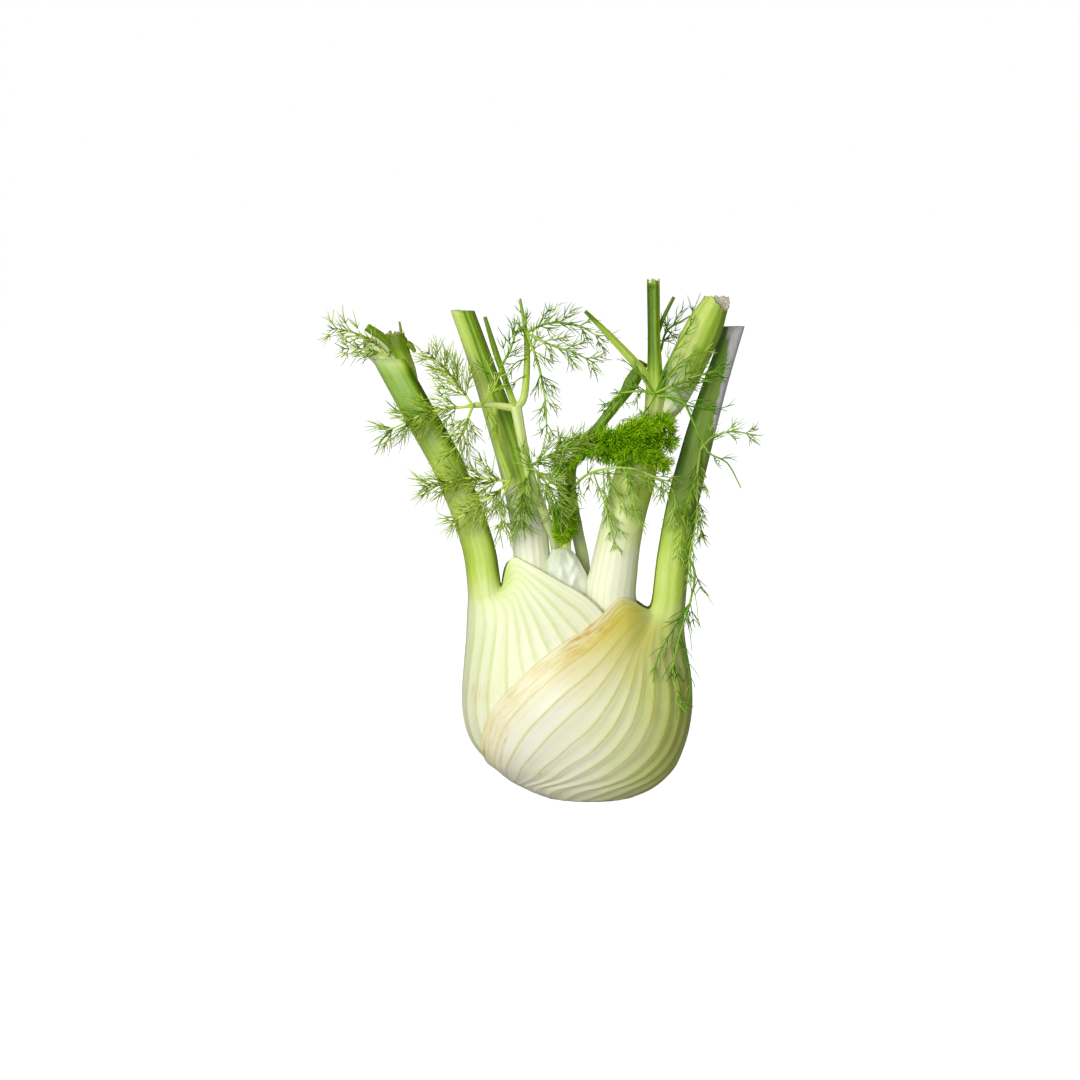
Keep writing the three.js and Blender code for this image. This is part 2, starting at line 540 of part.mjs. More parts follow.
function keepClearOf(stations) {
  const ends = stations.slice(1).map((to, i) => (
    Math.hypot(to[0] - stations[i][0], to[1] - stations[i][1], to[2] - stations[i][2])));
  const count = Math.ceil(ends.reduce((sum, part) => sum + part, 0) / SLICE);
  for (let i = 0; i <= count; i += 1) {
    const slice = stemAt(stations, i / count);
    slice.along = new THREE.Vector3().crossVectors(slice.front, slice.side);
    stemSlices.push(slice);
  }
}

function isInStem(point, margin) {
  const away = new THREE.Vector3();
  return stemSlices.some((slice) => {
    away.subVectors(point, slice.centre);
    if (Math.abs(away.dot(slice.along)) > SLICE) return false;
    const across = away.dot(slice.side) / (slice.across + margin);
    const deep = away.dot(slice.front) / (slice.deep + margin);
    return across * across + deep * deep < 1;
  });
}

function isInBulb(point, margin) {
  const [top, left, right, depth] = tableAt(BULB, point.z);
  if (point.z > top + margin) return false;
  const across = Math.abs(point.x - (left + right) / 2) / ((right - left) / 2 + margin);
  const deep = Math.abs(point.y) / (depth + margin);
  return across ** ROUNDNESS + deep ** ROUNDNESS < 1;
}

function distanceTo(needle, point) {
  return needle.line.closestPointToPoint(point, true, new THREE.Vector3()).distanceTo(point);
}

// A needle's own parent and its sisters start close to it, so they don't count.
function isFree(line, radius, name) {
  const steps = Math.ceil(line.distance() / CHECK_STEP);
  const others = needles.filter((needle) => (
    needle.name !== name || distanceTo(needle, line.start) > NEAR_ROOT));
  return Array.from({ length: steps }, (_, i) => line.at((i + 1) / steps, new THREE.Vector3()))
    .every((point) => {
      const margin = radius + GAP;
      if (isInStem(point, margin) || isInBulb(point, margin + RIGHT_LEAF.proud)) return false;
      return others.every((needle) => distanceTo(needle, point) > needle.radius + margin);
    });
}

// A frond's skin. Three-sided branches are drawn out of its own faces, so that it is one closed
// body from the start.
class Growth {
  constructor(name, seed) {
    this.name = name;
    this.random = randomFrom(seed);
    this.points = [];
    this.faces = [];
  }

  // Three corners round a centre. The first one faces the same way as a hint.
  ring(centre, along, radius, hint) {
    const up = hint.clone().projectOnPlane(along).normalize().multiplyScalar(radius);
    return [0, 1, 2].map((i) => {
      const corner = up.clone().applyAxisAngle(along, (2 * Math.PI * i) / 3).add(centre);
      return this.points.push(corner) - 1;
    });
  }

  // Joins two rings. One triangle of each side is left open and returned: a branch starts there.
  segment(lower, upper) {
    return [0, 1, 2].map((i) => {
      const j = (i + 1) % 3;
      this.faces.push([lower[i], upper[j], upper[i]]);
      return [lower[i], lower[j], upper[j]];
    });
  }

  close(triangle) {
    this.faces.push(triangle);
  }

  spike(triangle, tip) {
    const point = this.points.push(tip) - 1;
    const [a, b, c] = triangle;
    this.faces.push([a, b, point], [b, c, point], [c, a, point]);
  }

  middle([a, b, c]) {
    return this.points[a].clone().add(this.points[b]).add(this.points[c]).divideScalar(3);
  }

  facing([a, b, c]) {
    return new THREE.Triangle(this.points[a], this.points[b], this.points[c])
      .getNormal(new THREE.Vector3());
  }

  // The way a branch leaves its parent from an open triangle.
  branchWay(triangle, along, spread, droop) {
    const out = this.facing(triangle).projectOnPlane(along).normalize();
    const angle = radians(spread * vary(this.random, 0.2));
    return along.clone().multiplyScalar(Math.cos(angle))
      .addScaledVector(out, Math.sin(angle))
      .addScaledVector(DOWN, droop).normalize();
  }

  solid() {
    const geometry = new THREE.BufferGeometry().setFromPoints(this.points);
    geometry.setIndex(this.faces.flat());
    return solidOf(geometry);
  }
}

// Records a needle if it is clear of everything else.
function claim(growth, start, way, length, radius) {
  const line = new THREE.Line3(start, start.clone().addScaledVector(way, length));
  if (!isFree(line, radius, growth.name)) return false;
  needles.push({ line, radius, name: growth.name });
  return true;
}

function growNeedle(growth, triangle, along, length) {
  const start = growth.middle(triangle);
  const way = growth.branchWay(triangle, along, NEEDLE_SPREAD, 0);
  if (claim(growth, start, way, length, NEEDLE_RADIUS)) {
    growth.spike(triangle, start.addScaledVector(way, length));
  } else {
    growth.close(triangle);
  }
}

// A side sprig: a thin axis with whorls of needles, ending in a tip.
function growSprig(growth, triangle, along, rib, t) {
  const length = rib.reach * (1 - SPRIG_TAPER * t) * vary(growth.random, 0.25);
  const start = growth.middle(triangle);
  const way = growth.branchWay(triangle, along, rib.spread, rib.droop ?? 0);
  if (!claim(growth, start, way, length, SPRIG_RADIUS)) {
    growth.close(triangle);
    return;
  }
  const whorls = Math.max(1, Math.round(length / WHORL_SPACING) - 1);
  const hint = growth.points[triangle[0]].clone().sub(start);
  let from = triangle;
  for (let i = 1; i <= whorls; i += 1) {
    const share = i / (whorls + 1);
    const radius = SPRIG_RADIUS * (1 - SPRIG_THINNING * share);
    const rings = [-radius, radius].map((shift) => (
      growth.ring(start.clone().addScaledVector(way, share * length + shift), way, radius, hint)));
    growth.segment(from, rings[0]).forEach((open) => growth.close(open));
    growth.segment(...rings).forEach((open) => {
      const left = NEEDLE_SHARE * length * (1 - share) * vary(growth.random, 0.3);
      growNeedle(growth, open, way, NEEDLE_SHORTEST + left);
    });
    from = rings[1];
  }
  growth.spike(from, start.clone().addScaledVector(way, length));
}

// A midrib with pairs of sprigs, and a tuft at its tip.
function growRib(growth, rib) {
  const line = new THREE.CatmullRomCurve3(rib.route.map((point) => new THREE.Vector3(...point)));
  const start = line.getPointAt(0);
  const pairs = Math.ceil(rib.sprigs / 2);
  let from = growth.ring(start, line.getTangentAt(0), RIB_RADIUS, BACK);
  growth.close([...from].reverse());
  for (let i = 0; i < pairs; i += 1) {
    const t = (i + FIRST_PAIR) / (pairs - 1 + 1.5 * FIRST_PAIR);
    const radius = THREE.MathUtils.lerp(RIB_RADIUS, RIB_TIP, t);
    const along = line.getTangentAt(t);
    const rings = [-radius, radius].map((shift) => (
      growth.ring(line.getPointAt(t).addScaledVector(along, shift), along, radius, BACK)));
    growth.segment(from, rings[0]).forEach((open) => growth.close(open));
    growth.segment(...rings).forEach((open) => growSprig(growth, open, along, rib, t));
    from = rings[1];
  }
  growth.spike(from, line.getPointAt(1));
}

// All the ribs of a frond start at one place, where their roots are fused.
function growFrond(frond) {
  const ribs = frond.ribs.map((rib, i) => {
    const growth = new Growth(frond.name, frond.seed + 1000 * i);
    const line = new THREE.CatmullRomCurve3(rib.route.map((point) => new THREE.Vector3(...point)));
    const points = line.getSpacedPoints(Math.ceil(line.getLength() / 5));
    points.slice(1).forEach((point, k) => needles.push({
      line: new THREE.Line3(points[k], point), radius: RIB_RADIUS, name: frond.name,
    }));
    growRib(growth, rib);
    return growth.solid();
  });
  return largestBody(wasm.Manifold.union(ribs));
}

// ---- assembly ----------------------------------------------------------------------------

const group = new THREE.Group();

function addPiece(name, solid, colour) {
  const material = new THREE.MeshStandardMaterial({ color: colour, roughness: 0.5, metalness: 0 });
  const mesh = new THREE.Mesh(geometryOf(solid), material);
  mesh.name = name;
  group.add(mesh);
}

const aroundRight = carvingShape(RIGHT_LEAF);
const aroundLeft = carvingShape(LEFT_LEAF);

function leftOuterLeaf() {
  return carved(levelCut(sheathLeaf(LEFT_LEAF), LEFT_TOP), aroundRight);
}

function innerRightLeaf() {
  const branches = stem(THICK_BRANCH, 12)
    .add(stem(UPRIGHT_BRANCH, 8))
    .add(stem(LEANING_BRANCH, 6))
    .add(stem(SIDE_STEM, 5));
  return carved(stem(INNER_RIGHT, 14).add(branches), aroundRight, aroundLeft);
}

function innerLeftLeaf() {
  return carved(levelCut(stem(INNER_LEFT, 14), INNER_LEFT_TOP), aroundRight, aroundLeft);
}

function hoodedSheath() {
  const neighbours = [stem(INNER_RIGHT, 14, GAP), stem(INNER_LEFT, 14, GAP),
    stem(SLENDER, 8, GAP), stem(FORKED, 6, GAP)];
  return largestBody(carved(stem(HOOD, 12), aroundLeft, ...neighbours).add(stem(HOOD_STEM, 8)));
}

function forkedLeafStem() {
  return largestBody(FORKS.reduce((whole, fork) => whole.add(stem(fork, 6)), stem(FORKED, 6)));
}

function tornShoot() {
  const stalk = levelCut(sheathLeaf({ ...LEFT_LEAF, groove: 0 }, -GAP, -2 * GAP), LEFT_TOP + GAP);
  const shoot = stem(SHOOT, 8)
    .add(stem(SHOOT_HOOK, 5))
    .add(stem(SHOOT_STEM, 6))
    .add(stem(SHOOT_TIP, 4));
  return carved(shoot, stalk);
}

addPiece("root_plate", stem(ROOT_PLATE, 16), COLOURS.rootPlate);
addPiece("right_outer_leaf", levelCut(sheathLeaf(RIGHT_LEAF), RIGHT_TOP), COLOURS.rightLeaf);
addPiece("left_outer_leaf", leftOuterLeaf(), COLOURS.leftLeaf);
addPiece("inner_right_leaf", innerRightLeaf(), COLOURS.innerRight);
addPiece("inner_left_leaf", innerLeftLeaf(), COLOURS.innerLeft);
addPiece("slender_inner_stalk", stem(SLENDER, 8), COLOURS.slender);
addPiece("hooded_sheath", hoodedSheath(), COLOURS.hood);
addPiece("forked_leaf_stem", forkedLeafStem(), COLOURS.forked);
addPiece("torn_shoot", tornShoot(), COLOURS.shoot);

const STEMS = [RIGHT_STALK, LEFT_STALK, INNER_RIGHT, THICK_BRANCH, UPRIGHT_BRANCH, LEANING_BRANCH,
  SIDE_STEM, INNER_LEFT, HOOD, HOOD_STEM, SLENDER, FORKED, ...FORKS, SHOOT, SHOOT_HOOK,
  SHOOT_STEM, SHOOT_TIP];
STEMS.forEach(keepClearOf);
FRONDS.forEach((frond) => addPiece(frond.name, growFrond(frond), frond.colour));

export default group;
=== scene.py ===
import math

import bpy
import numpy as np
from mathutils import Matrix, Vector
from mathutils.kdtree import KDTree


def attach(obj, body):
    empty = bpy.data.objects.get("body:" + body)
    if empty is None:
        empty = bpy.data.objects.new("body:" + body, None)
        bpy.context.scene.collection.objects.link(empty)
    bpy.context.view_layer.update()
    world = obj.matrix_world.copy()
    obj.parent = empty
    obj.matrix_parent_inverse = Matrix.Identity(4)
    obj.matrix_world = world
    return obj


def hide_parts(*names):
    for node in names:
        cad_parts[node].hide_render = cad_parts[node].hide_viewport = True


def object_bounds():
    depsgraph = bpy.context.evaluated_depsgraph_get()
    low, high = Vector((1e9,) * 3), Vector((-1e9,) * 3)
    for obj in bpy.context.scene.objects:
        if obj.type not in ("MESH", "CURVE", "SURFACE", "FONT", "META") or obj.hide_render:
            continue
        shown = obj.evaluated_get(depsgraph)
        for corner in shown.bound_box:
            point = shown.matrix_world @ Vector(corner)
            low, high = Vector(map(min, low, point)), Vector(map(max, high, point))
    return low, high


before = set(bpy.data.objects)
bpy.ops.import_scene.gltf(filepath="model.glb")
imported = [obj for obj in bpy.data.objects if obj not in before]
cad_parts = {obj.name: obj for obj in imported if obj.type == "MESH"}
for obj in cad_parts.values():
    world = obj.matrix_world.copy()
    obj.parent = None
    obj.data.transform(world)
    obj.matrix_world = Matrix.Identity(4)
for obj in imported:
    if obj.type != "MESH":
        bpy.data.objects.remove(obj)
SOLID_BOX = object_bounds()

# A Florence fennel bulb: two clasping outer leaves with ribbed bases and cut stalks, the paler
# leaves inside them, and thread-like fronds. Sizes are in millimetres, as in the part's source,
# and turn into metres where a mesh is made.
MM = 0.001

# ---- the bulb and its leaves -------------------------------------------------------------------

ROUNDNESS = 2.2             # exponent of the bulb's cross-section
# By height: left side, right side, half depth, and how far the face leans down.
BULB = [
    [0, -17.6, 17.6, 12.8, 76], [3, -25.3, 25, 17, 62], [6, -30.5, 29.8, 20.5, 52],
    [12, -38, 35.6, 25.5, 38], [17, -44.5, 38.4, 28.5, 28], [24, -50.2, 41, 31.5, 17],
    [32, -53.2, 42.8, 33.4, 9], [42, -54.3, 43.7, 34, 2], [54, -53.6, 42.8, 32.4, -5],
    [68, -52.4, 40, 28, -14], [78, -51.8, 38.6, 23, -22], [88, -50.5, 34, 18, -30],
    [98, -46, 24, 14.5, -38], [108, -41, 12, 11, -44],
]

# Veins of a sheath from the root to the stalk: angle from the middle of the leaf, then height.
RIGHT_VEINS = [
    [[30, 2], [14, 9], [4, 19], [0, 32], [0, 47], [0, 60], [0, 71], [0, 79]],
    [[124, 2], [74, 10], [50, 21], [41, 34], [39, 47], [40, 59], [43, 70], [49, 78]],
    [[206, 2], [137, 10], [107, 20], [90, 32], [79, 44], [69, 57], [59, 69], [50.5, 78]],
    [[210, 2.4], [182, 11], [153, 22], [133, 42], [110, 60], [84, 76], [62, 88], [51, 80]],
]
LEFT_VEINS = [
    [[0, 4], [0, 14], [0, 27], [0, 42], [0, 56], [0, 68], [0, 79], [0, 88]],
    [[60, 4], [50, 16], [43, 30], [41, 45], [42, 58], [44, 70], [46, 81], [49, 88]],
    [[115, 4], [104, 19], [94, 35], [86, 52], [78, 68], [69, 83], [58, 94], [49.5, 89]],
    [[168, 4], [147, 21], [127, 42], [112, 65], [101, 84], [78, 97.4], [47.5, 103.8], [49, 90]],
]
BACK_REACH = 0.82           # the back half of a sheath wraps this much of the front half
BACK_DROP = 4               # how much lower the back edge of a sheath is than its front edge
ROOT_TUCK = 0.8             # share of its height by which a sheath's lower edge is drawn down
DRAW_IN = 0.7               # share of its height where a sheath starts to turn into a stalk
DRAW_IN_DELAY = 0.16        # and how much later its edges do

# Stems as stations: centre, half width, half depth.
RIGHT_STALK = [
    [32.2, 0, 78, 8, 12.4], [33.3, 0.8, 92.3, 7.9, 10.4], [35, 2, 104.9, 7.9, 9.4],
    [38.7, 4, 125.9, 7.5, 8.4], [43.4, 6, 144.3, 7.1, 8], [46.4, 8, 155.1, 6.8, 7.7],
    [50.2, 10, 167.6, 6.2, 7.3], [54, 12, 179.3, 5.6, 6.9], [61.4, 14, 201.5, 4.8, 6.2],
]
LEFT_STALK = [
    [-43.6, -1, 87, 8, 12.2], [-44.5, -1, 98.9, 7.9, 10.6], [-47, 0, 109.4, 7.7, 9.6],
    [-50.4, 0, 119.9, 7.5, 9], [-54.6, 1, 130.4, 7.5, 8.6], [-59.6, 1, 142.2, 7.5, 8.3],
    [-65, 1, 152.2, 7.5, 8.1], [-71.3, 2, 163.1, 7.4, 8], [-77.5, 2, 174.4, 7.3, 7.8],
    [-86.5, 3, 190.8, 7.2, 7.6],
]
RIGHT_TOP = 198.4
LEFT_TOP = 185.6
INNER_LEFT_TOP = 205.4
STALK_POWER = 0.8           # below 1 it fills out the corners of a stalk's section
CORNER = 140                # angle from a stalk's back to the edge of its channel
CORNER_INSET = (0.5, 0.8)   # how far the channel's edges stand in, inwards and sideways
CHANNEL = 3.2               # depth of the channel on a stalk's inner side
MIDDLE_SHARE = 0.7          # share of a stalk's back that the middle third of its ribs takes

INNER_RIGHT = [
    [14.5, 0, 13, 7, 7], [18, 0, 24, 14.5, 15], [18.5, 0, 38, 16.5, 18.5],
    [16, -1, 54, 15.8, 16.5], [11.5, -3, 68, 12.5, 12.5], [8.6, -6, 84.7, 10.9, 9.8],
    [9.9, -7, 97.5, 10, 9], [12, -8, 110.2, 9.2, 8.6], [14.8, -8, 122.8, 8.8, 8.2],
    [18.1, -8, 135.3, 8.8, 8], [21.8, -8, 147.9, 7.4, 7.2], [26.8, -8, 158.3, 5.6, 6],
]
THICK_BRANCH = [
    [24, -8, 153, 4.6, 5], [27.8, -8, 161.5, 5.4, 6], [33.4, -7, 170.6, 7.4, 7],
    [41.8, -6, 187.3, 7.8, 7.2], [47.4, -5, 199, 7.6, 7], [52.4, -4, 209.2, 5.6, 6.2],
]
BEYOND_THICK_BRANCH = [57.2, -3.2, 217, 5.8, 6]     # a station past its end, which is then cut
THICK_BRANCH_TOP = 211.4
THICK_BRANCH_SLANT = ((0.7, -0.45, 0.55), 156)      # the slanting cut's direction, and how far out
UPRIGHT_BRANCH = [
    [25.2, -9, 153, 3.4, 3.4], [26.6, -12.5, 169, 4.2, 3.8], [26.4, -14.6, 183, 3.2, 3.1],
    [26, -15.4, 196, 2.7, 2.7], [25.6, -16, 218.3, 2.7, 2.7],
]
LEANING_BRANCH = [
    [26.4, -13.4, 172.5, 2.2, 2.2], [20.7, -15, 181.5, 2.1, 2.1], [8.6, -16.4, 194.7, 1.6, 1.6],
    [-2.5, -18, 205.8, 0.8, 0.8],
]
SIDE_STEM = [
    [26.2, -14.6, 192, 1, 1], [29.4, -13.2, 201.6, 0.9, 0.9], [34.2, -12, 211.4, 0.7, 0.7],
]
INNER_LEFT = [
    [-15.5, 0, 13, 6, 7], [-22, 0, 24, 11, 15], [-24.5, 0, 38, 13, 18.5],
    [-24.5, -1, 54, 13, 16.5], [-23.8, -1, 68, 11.3, 13], [-23.4, -1.2, 80, 8.9, 10.3],
    [-23.8, -1.6, 95, 7.9, 8.2], [-25.6, -2, 113.8, 7.7, 7.6], [-27.7, -2, 126.4, 7.4, 7],
    [-31, -1, 138.9, 7, 6.6], [-34.8, 0, 151.5, 6.6, 6.2], [-39, 1, 164, 6, 5.9],
    [-43.2, 2, 176.5, 5.4, 5.6], [-48.2, 3, 191, 5, 5.2], [-54.4, 4, 208, 4.7, 4.9],
]
HOOD = [
    [-4.2, 0, 18, 3, 7], [-5, 0, 38, 4, 12], [-7.2, -2, 62, 4, 10], [-8, -4, 80, 7, 6],
    [-8.8, -6.2, 90, 8.7, 5], [-10.6, -6.6, 97, 7.7, 4.8], [-11.8, -6, 102.4, 6.2, 4.2],
    [-12.4, -5.4, 106.4, 3.6, 2.8],
]
HOOD_STEM = [
    [-10.2, -5.6, 100, 2.4, 2.2], [-10.2, -5, 109, 2.4, 2.3], [-9.4, -3.6, 120, 2.4, 2.2],
    [-8.6, -3, 126, 3.1, 2.6], [-7.6, -3, 133, 1.8, 1.6],
]
SLENDER = [
    [-5, 4, 14, 2.4, 2.4], [-5, 6, 40, 2.6, 2.6], [-4.6, 6.5, 66, 2.6, 2.4],
    [-3.4, 6.5, 80, 2.6, 2.4], [-2.6, 6, 92, 2.9, 2.6], [-2.9, 5.4, 100.6, 2.8, 2.5],
    [-5.4, 6, 113.1, 2.7, 2.4], [-7.9, 6, 129.9, 2.4, 2.2], [-6.4, 6, 143.5, 2.2, 2.1],
    [4.2, 5.6, 157.4, 2.2, 2.1], [13.4, 5, 169, 2.3, 2.2], [17.6, 5, 175.6, 3.2, 2.8],
    [22.5, 4.6, 183.9, 2.2, 2],
]
FORKED = [
    [-13, 2.4, 92, 2, 1.9], [-13.8, 1.6, 100, 2, 1.9], [-15.3, -3.4, 110, 2, 2],
    [-18.6, -10.6, 119.6, 2.1, 2],
    [-24.7, -12.4, 135.7, 2.1, 2], [-27.6, -12.4, 148.2, 2.1, 2], [-31, -12.4, 166.4, 2.5, 2.3],
]
FORKS = [
    [[-30.6, -12.4, 165.4, 1.7, 1.7], [-40, -12.6, 166.9, 1.4, 1.4], [-48.3, -15, 167, 1.2, 1.2]],
    [[-31, -12.4, 165, 1.5, 1.5], [-35.6, -11.4, 177.9, 1.3, 1.3], [-39.6, -10, 189.5, 1.3, 1.3],
        [-43.8, -8, 203.1, 0.8, 0.8]],
    [[-31, -12.4, 165.4, 1.6, 1.6], [-27.4, -11.4, 171.3, 1.6, 1.6],
        [-26.4, -9.4, 191.5, 1.2, 1.2], [-29.2, -7, 210.6, 0.5, 0.5]],
    [[-39.6, -12.6, 167.2, 1.2, 1.2], [-39, -12.4, 153.2, 1.2, 1.2],
        [-33.2, -12.8, 136.8, 1.3, 1.3]],
]
# The torn young leaf that stands in the channel of the left stalk.
SHOOT = [
    [-73.6, 2.2, 175, 1.4, 2], [-75.6, 2, 181, 2.2, 3], [-78.6, 1, 186.6, 3.4, 3.6],
    [-80.4, 0.4, 190.6, 4.4, 3.8], [-81.2, 0, 193.6, 4.2, 3.4], [-81.2, 0, 195.8, 3.4, 2.6],
]
SHOOT_HOOK = [
    [-79.6, 0, 190, 2.4, 2], [-75.8, -0.6, 191.4, 1.7, 1.5], [-73, -1, 188.4, 0.7, 0.7],
]
SHOOT_STEM = [
    [-82.6, 0, 189.6, 2.2, 2], [-87.6, -1, 194.8, 2.1, 1.9], [-93.2, -2, 198.8, 1.7, 1.5],
]
SHOOT_TIP = [[-79, 0, 193, 0.9, 0.8], [-79, 0, 197, 0.7, 0.6], [-79.6, 0, 201, 0.4, 0.4]]
# The thin pale sheath round the torn shoot.
SHOOT_SHEATH = [
    [-81.4, 1.6, 181, 4, 3.8], [-85.4, 1.4, 186, 5.4, 4.2], [-89, 0.8, 190.6, 5.7, 3.8],
    [-90.6, 0.4, 194.6, 4.6, 2.6],
]
ROOT_PLATE = [
    [0, 0, 0, 16.4, 12.2], [0, 0, 4, 16.2, 12], [0, 0, 8, 15, 11], [0, 0, 9.8, 12.5, 9],
]

# Fronds: the routes of their midribs.
FROND_ROUTES = {
    "frond_left_top": [
        [[-84.4, -4.6, 187.2], [-91, -5.6, 193.4], [-100, -5, 197], [-108, -5, 198.4]],
        [[-84.4, -4.6, 187], [-93, -7, 189.6], [-103, -8, 190]],
    ],
    "frond_left_upper": [
        [[-48.8, -17.4, 167], [-56, -17, 177.4], [-66, -17.5, 188]],
        [[-48.8, -17.4, 166.8], [-66, -18.5, 164.4], [-85, -21, 156]],
        [[-48.8, -17.4, 166.6], [-52.5, -18, 157], [-57, -19.5, 147]],
    ],
    "frond_left_lower": [
        [[-33.6, -14.8, 135.4], [-50, -17, 136.9], [-68.6, -18.5, 133.7]],
        [[-33.6, -14.8, 135.2], [-43, -17, 127.7], [-57.2, -18.6, 119]],
        [[-34, -14.8, 134.6], [-37.4, -15, 125.4], [-36.5, -15, 115.4]],
    ],
    "frond_airy": [
        [[-26.4, -11.7, 196.5], [-16.9, -11.4, 191.8], [-6.5, -11.4, 188.3], [2, -12.5, 184]],
        [[-26.4, -11.7, 197], [-16.9, -8, 200.6], [-4.4, -6, 199.2], [5.8, -5, 193]],
        [[-26.4, -11.7, 196], [-21.8, -14, 184], [-18.9, -15, 169.1], [-18.1, -15, 154.6]],
    ],
    "frond_dark": [
        [[-37, -13.5, 183], [-33.4, -14.6, 189.5], [-30.6, -15, 198]],
        [[-37, -13.5, 182.4], [-39, -15.6, 177], [-43.4, -17, 186]],
    ],
    "frond_centre": [
        [[-25.4, -15.7, 141.5], [-17, -16.6, 146.6], [-3, -13.5, 151.4]],
        [[-25.4, -15.7, 140.9], [-28.6, -17.4, 128.6], [-29.3, -17.4, 117]],
        [[-25.2, -15.7, 141.2], [-17.7, -17.6, 134], [-12.7, -17.4, 122]],
    ],
    "frond_young": [
        [[-12.4, -7.6, 108.4], [-14, -9.4, 115], [-14.2, -10, 122.4]],
        [[-12.2, -7.6, 108.6], [-8.4, -9.6, 114.7], [-8.2, -10, 122]],
    ],
    "frond_fluffy": [
        [[-1.2, 3, 150.6], [2.4, -9, 150.6], [9, -19.5, 153], [22, -21, 154.6],
         [33.6, -19.5, 152]],
        [[9, -19.5, 153], [20, -24, 148.6], [31, -22, 143]],
        [[2.4, -9, 150.6], [10, -13.6, 146], [14, -21, 146]],
        [[9, -19.5, 153], [21, -25, 158], [32, -23, 160]],
    ],
    "frond_arched": [
        [[-7.8, -6.1, 131.4], [-0.6, -14.6, 138.6], [13.2, -20.6, 141.6], [24.2, -20, 138.7],
         [34, -15.4, 131.6], [36.6, -12.4, 120]],
    ],
    "frond_node": [
        [[26.6, -17.9, 172], [20.1, -19.6, 173], [11.9, -20, 171.8], [5.8, -18, 166]],
        [[26.8, -17.9, 172.3], [40.6, -19.4, 178.4], [53.4, -17, 181.4]],
        [[27.6, -17.9, 171], [36.5, -18.6, 170], [42.8, -16.4, 159], [48.9, -12, 147.3],
         [57, -7, 142.3], [63, -7, 131.6]],
    ],
    "frond_behind": [
        [[28.8, -12.2, 189], [31.8, -4, 197.4], [38, 2, 201], [45, 6, 205]],
    ],
    "frond_right": [
        [[46, -2.4, 147.6], [50.6, -5.4, 152.8], [58, -6, 155.4], [68.4, -5, 154]],
        [[46, -2.4, 147.4], [44.6, -6.6, 138], [44.6, -9, 126], [46.6, -9.4, 112]],
    ],
    "frond_hanging": [
        [[39.6, -7.4, 106], [43.4, -11.4, 97], [41, -16.6, 84], [36.4, -22, 70],
         [34, -27.4, 56], [38, -29.6, 42]],
    ],
}

# Looser threads between the solid fronds and below them. Each one also gets a first point on
# the nearest stem or midrib.
LOOSE_ROUTES = {
    "frond_airy": [
        [[-26.8, -10.2, 192], [-27.6, -9.2, 198], [-28.4, -7.8, 204], [-28.8, -7.2, 207]],
        [[-26.2, -9.8, 193], [-27, -8.8, 198], [-28.2, -7.6, 203]],
        [[-26.6, -10, 195], [-27.8, -9, 200], [-28.8, -7.8, 205]],
        [[-26.4, -9.8, 191], [-27.2, -9.2, 196], [-28.2, -7.8, 201]],
        [[-26.4, -9.4, 188], [-24.4, -10.4, 194], [-23.4, -10.8, 201]],
        [[-26.4, -9.4, 187], [-23, -10.8, 192], [-20.8, -11.4, 198]],
        [[-26.8, -11.4, 186], [-30.6, -13.4, 184.6], [-34.6, -14.4, 180], [-36.6, -14.6, 173]],
        [[-27, -12, 179], [-30.8, -14, 177], [-33.6, -14.8, 171.6]],
    ],
    "frond_left_upper": [
        [[-45, -15.6, 167.6], [-40.6, -17.6, 172.6], [-37.6, -17.6, 180]],
        [[-45, -15.6, 166.8], [-41, -17.8, 161], [-38.6, -17.8, 152.6]],
    ],
    "frond_centre": [
        [[-20, -17, 138], [-25, -18.4, 143], [-29, -18.4, 150]],
        [[-18, -17, 134], [-14, -18, 139], [-11, -18, 146]],
    ],
    "frond_fluffy": [
        [[0, -7, 150.6], [-6, -9.4, 151], [-11.4, -10, 148.6], [-13, -10, 141], [-11.6, -9.4, 132],
         [-12.4, -9.4, 123]],
        [[4, -14, 148], [-3, -14, 146.4], [-8.6, -13, 142], [-11, -12, 136]],
    ],
    "frond_arched": [
        [[1, -15.4, 139], [4, -18, 131], [8, -18.6, 122], [12, -18.6, 114]],
        [[13.2, -20.6, 141.6], [17, -20.4, 132], [19, -19.6, 122], [23, -19, 113]],
        [[7, -19.2, 141], [9, -20.4, 133], [14, -20, 126], [20, -19.6, 122]],
        [[5, -18, 140], [6, -18.6, 128], [8, -18, 117], [10.6, -17.6, 107]],
        [[34, -15.4, 131.6], [35, -16.6, 127], [34, -16.4, 122], [31.6, -16, 116]],
    ],
    "frond_node": [
        [[27, -17.9, 172], [33, -17, 181], [41, -15.4, 187], [51, -14, 191]],
        [[28, -17.9, 171], [37, -17.4, 174], [47, -15, 177], [58, -11, 184]],
        [[26, -17.9, 172], [20, -18.6, 180], [12, -18, 187]],
        [[27, -17.9, 173], [31, -18, 184], [37, -17, 194], [43, -15, 203]],
        [[26, -17.9, 171], [22, -19, 164], [15, -19.4, 160]],
        [[30, -18, 171], [40, -17.4, 167], [50, -13, 165], [60, -8, 167]],
    ],
    "frond_right": [
        [[44.6, -6.6, 138], [40.6, -13, 128], [38, -15, 116], [36.6, -15, 103]],
        [[44.6, -9, 126], [43.4, -13.6, 116], [41, -15, 104], [41, -15, 92]],
    ],
    "frond_hanging": [
        [[41, -16.6, 84], [34, -20.5, 74], [28, -25, 64], [25.4, -28.8, 53]],
        [[36.4, -22, 70], [40, -19.5, 61], [41.6, -17, 50], [40, -19, 39]],
    ],
}

# ---- curves and surfaces -----------------------------------------------------------------------

SHORT_WAY = 0.01            # share of a stem to either side over which its direction is taken
HALVINGS = 24               # steps of the search for where a surface meets a cut


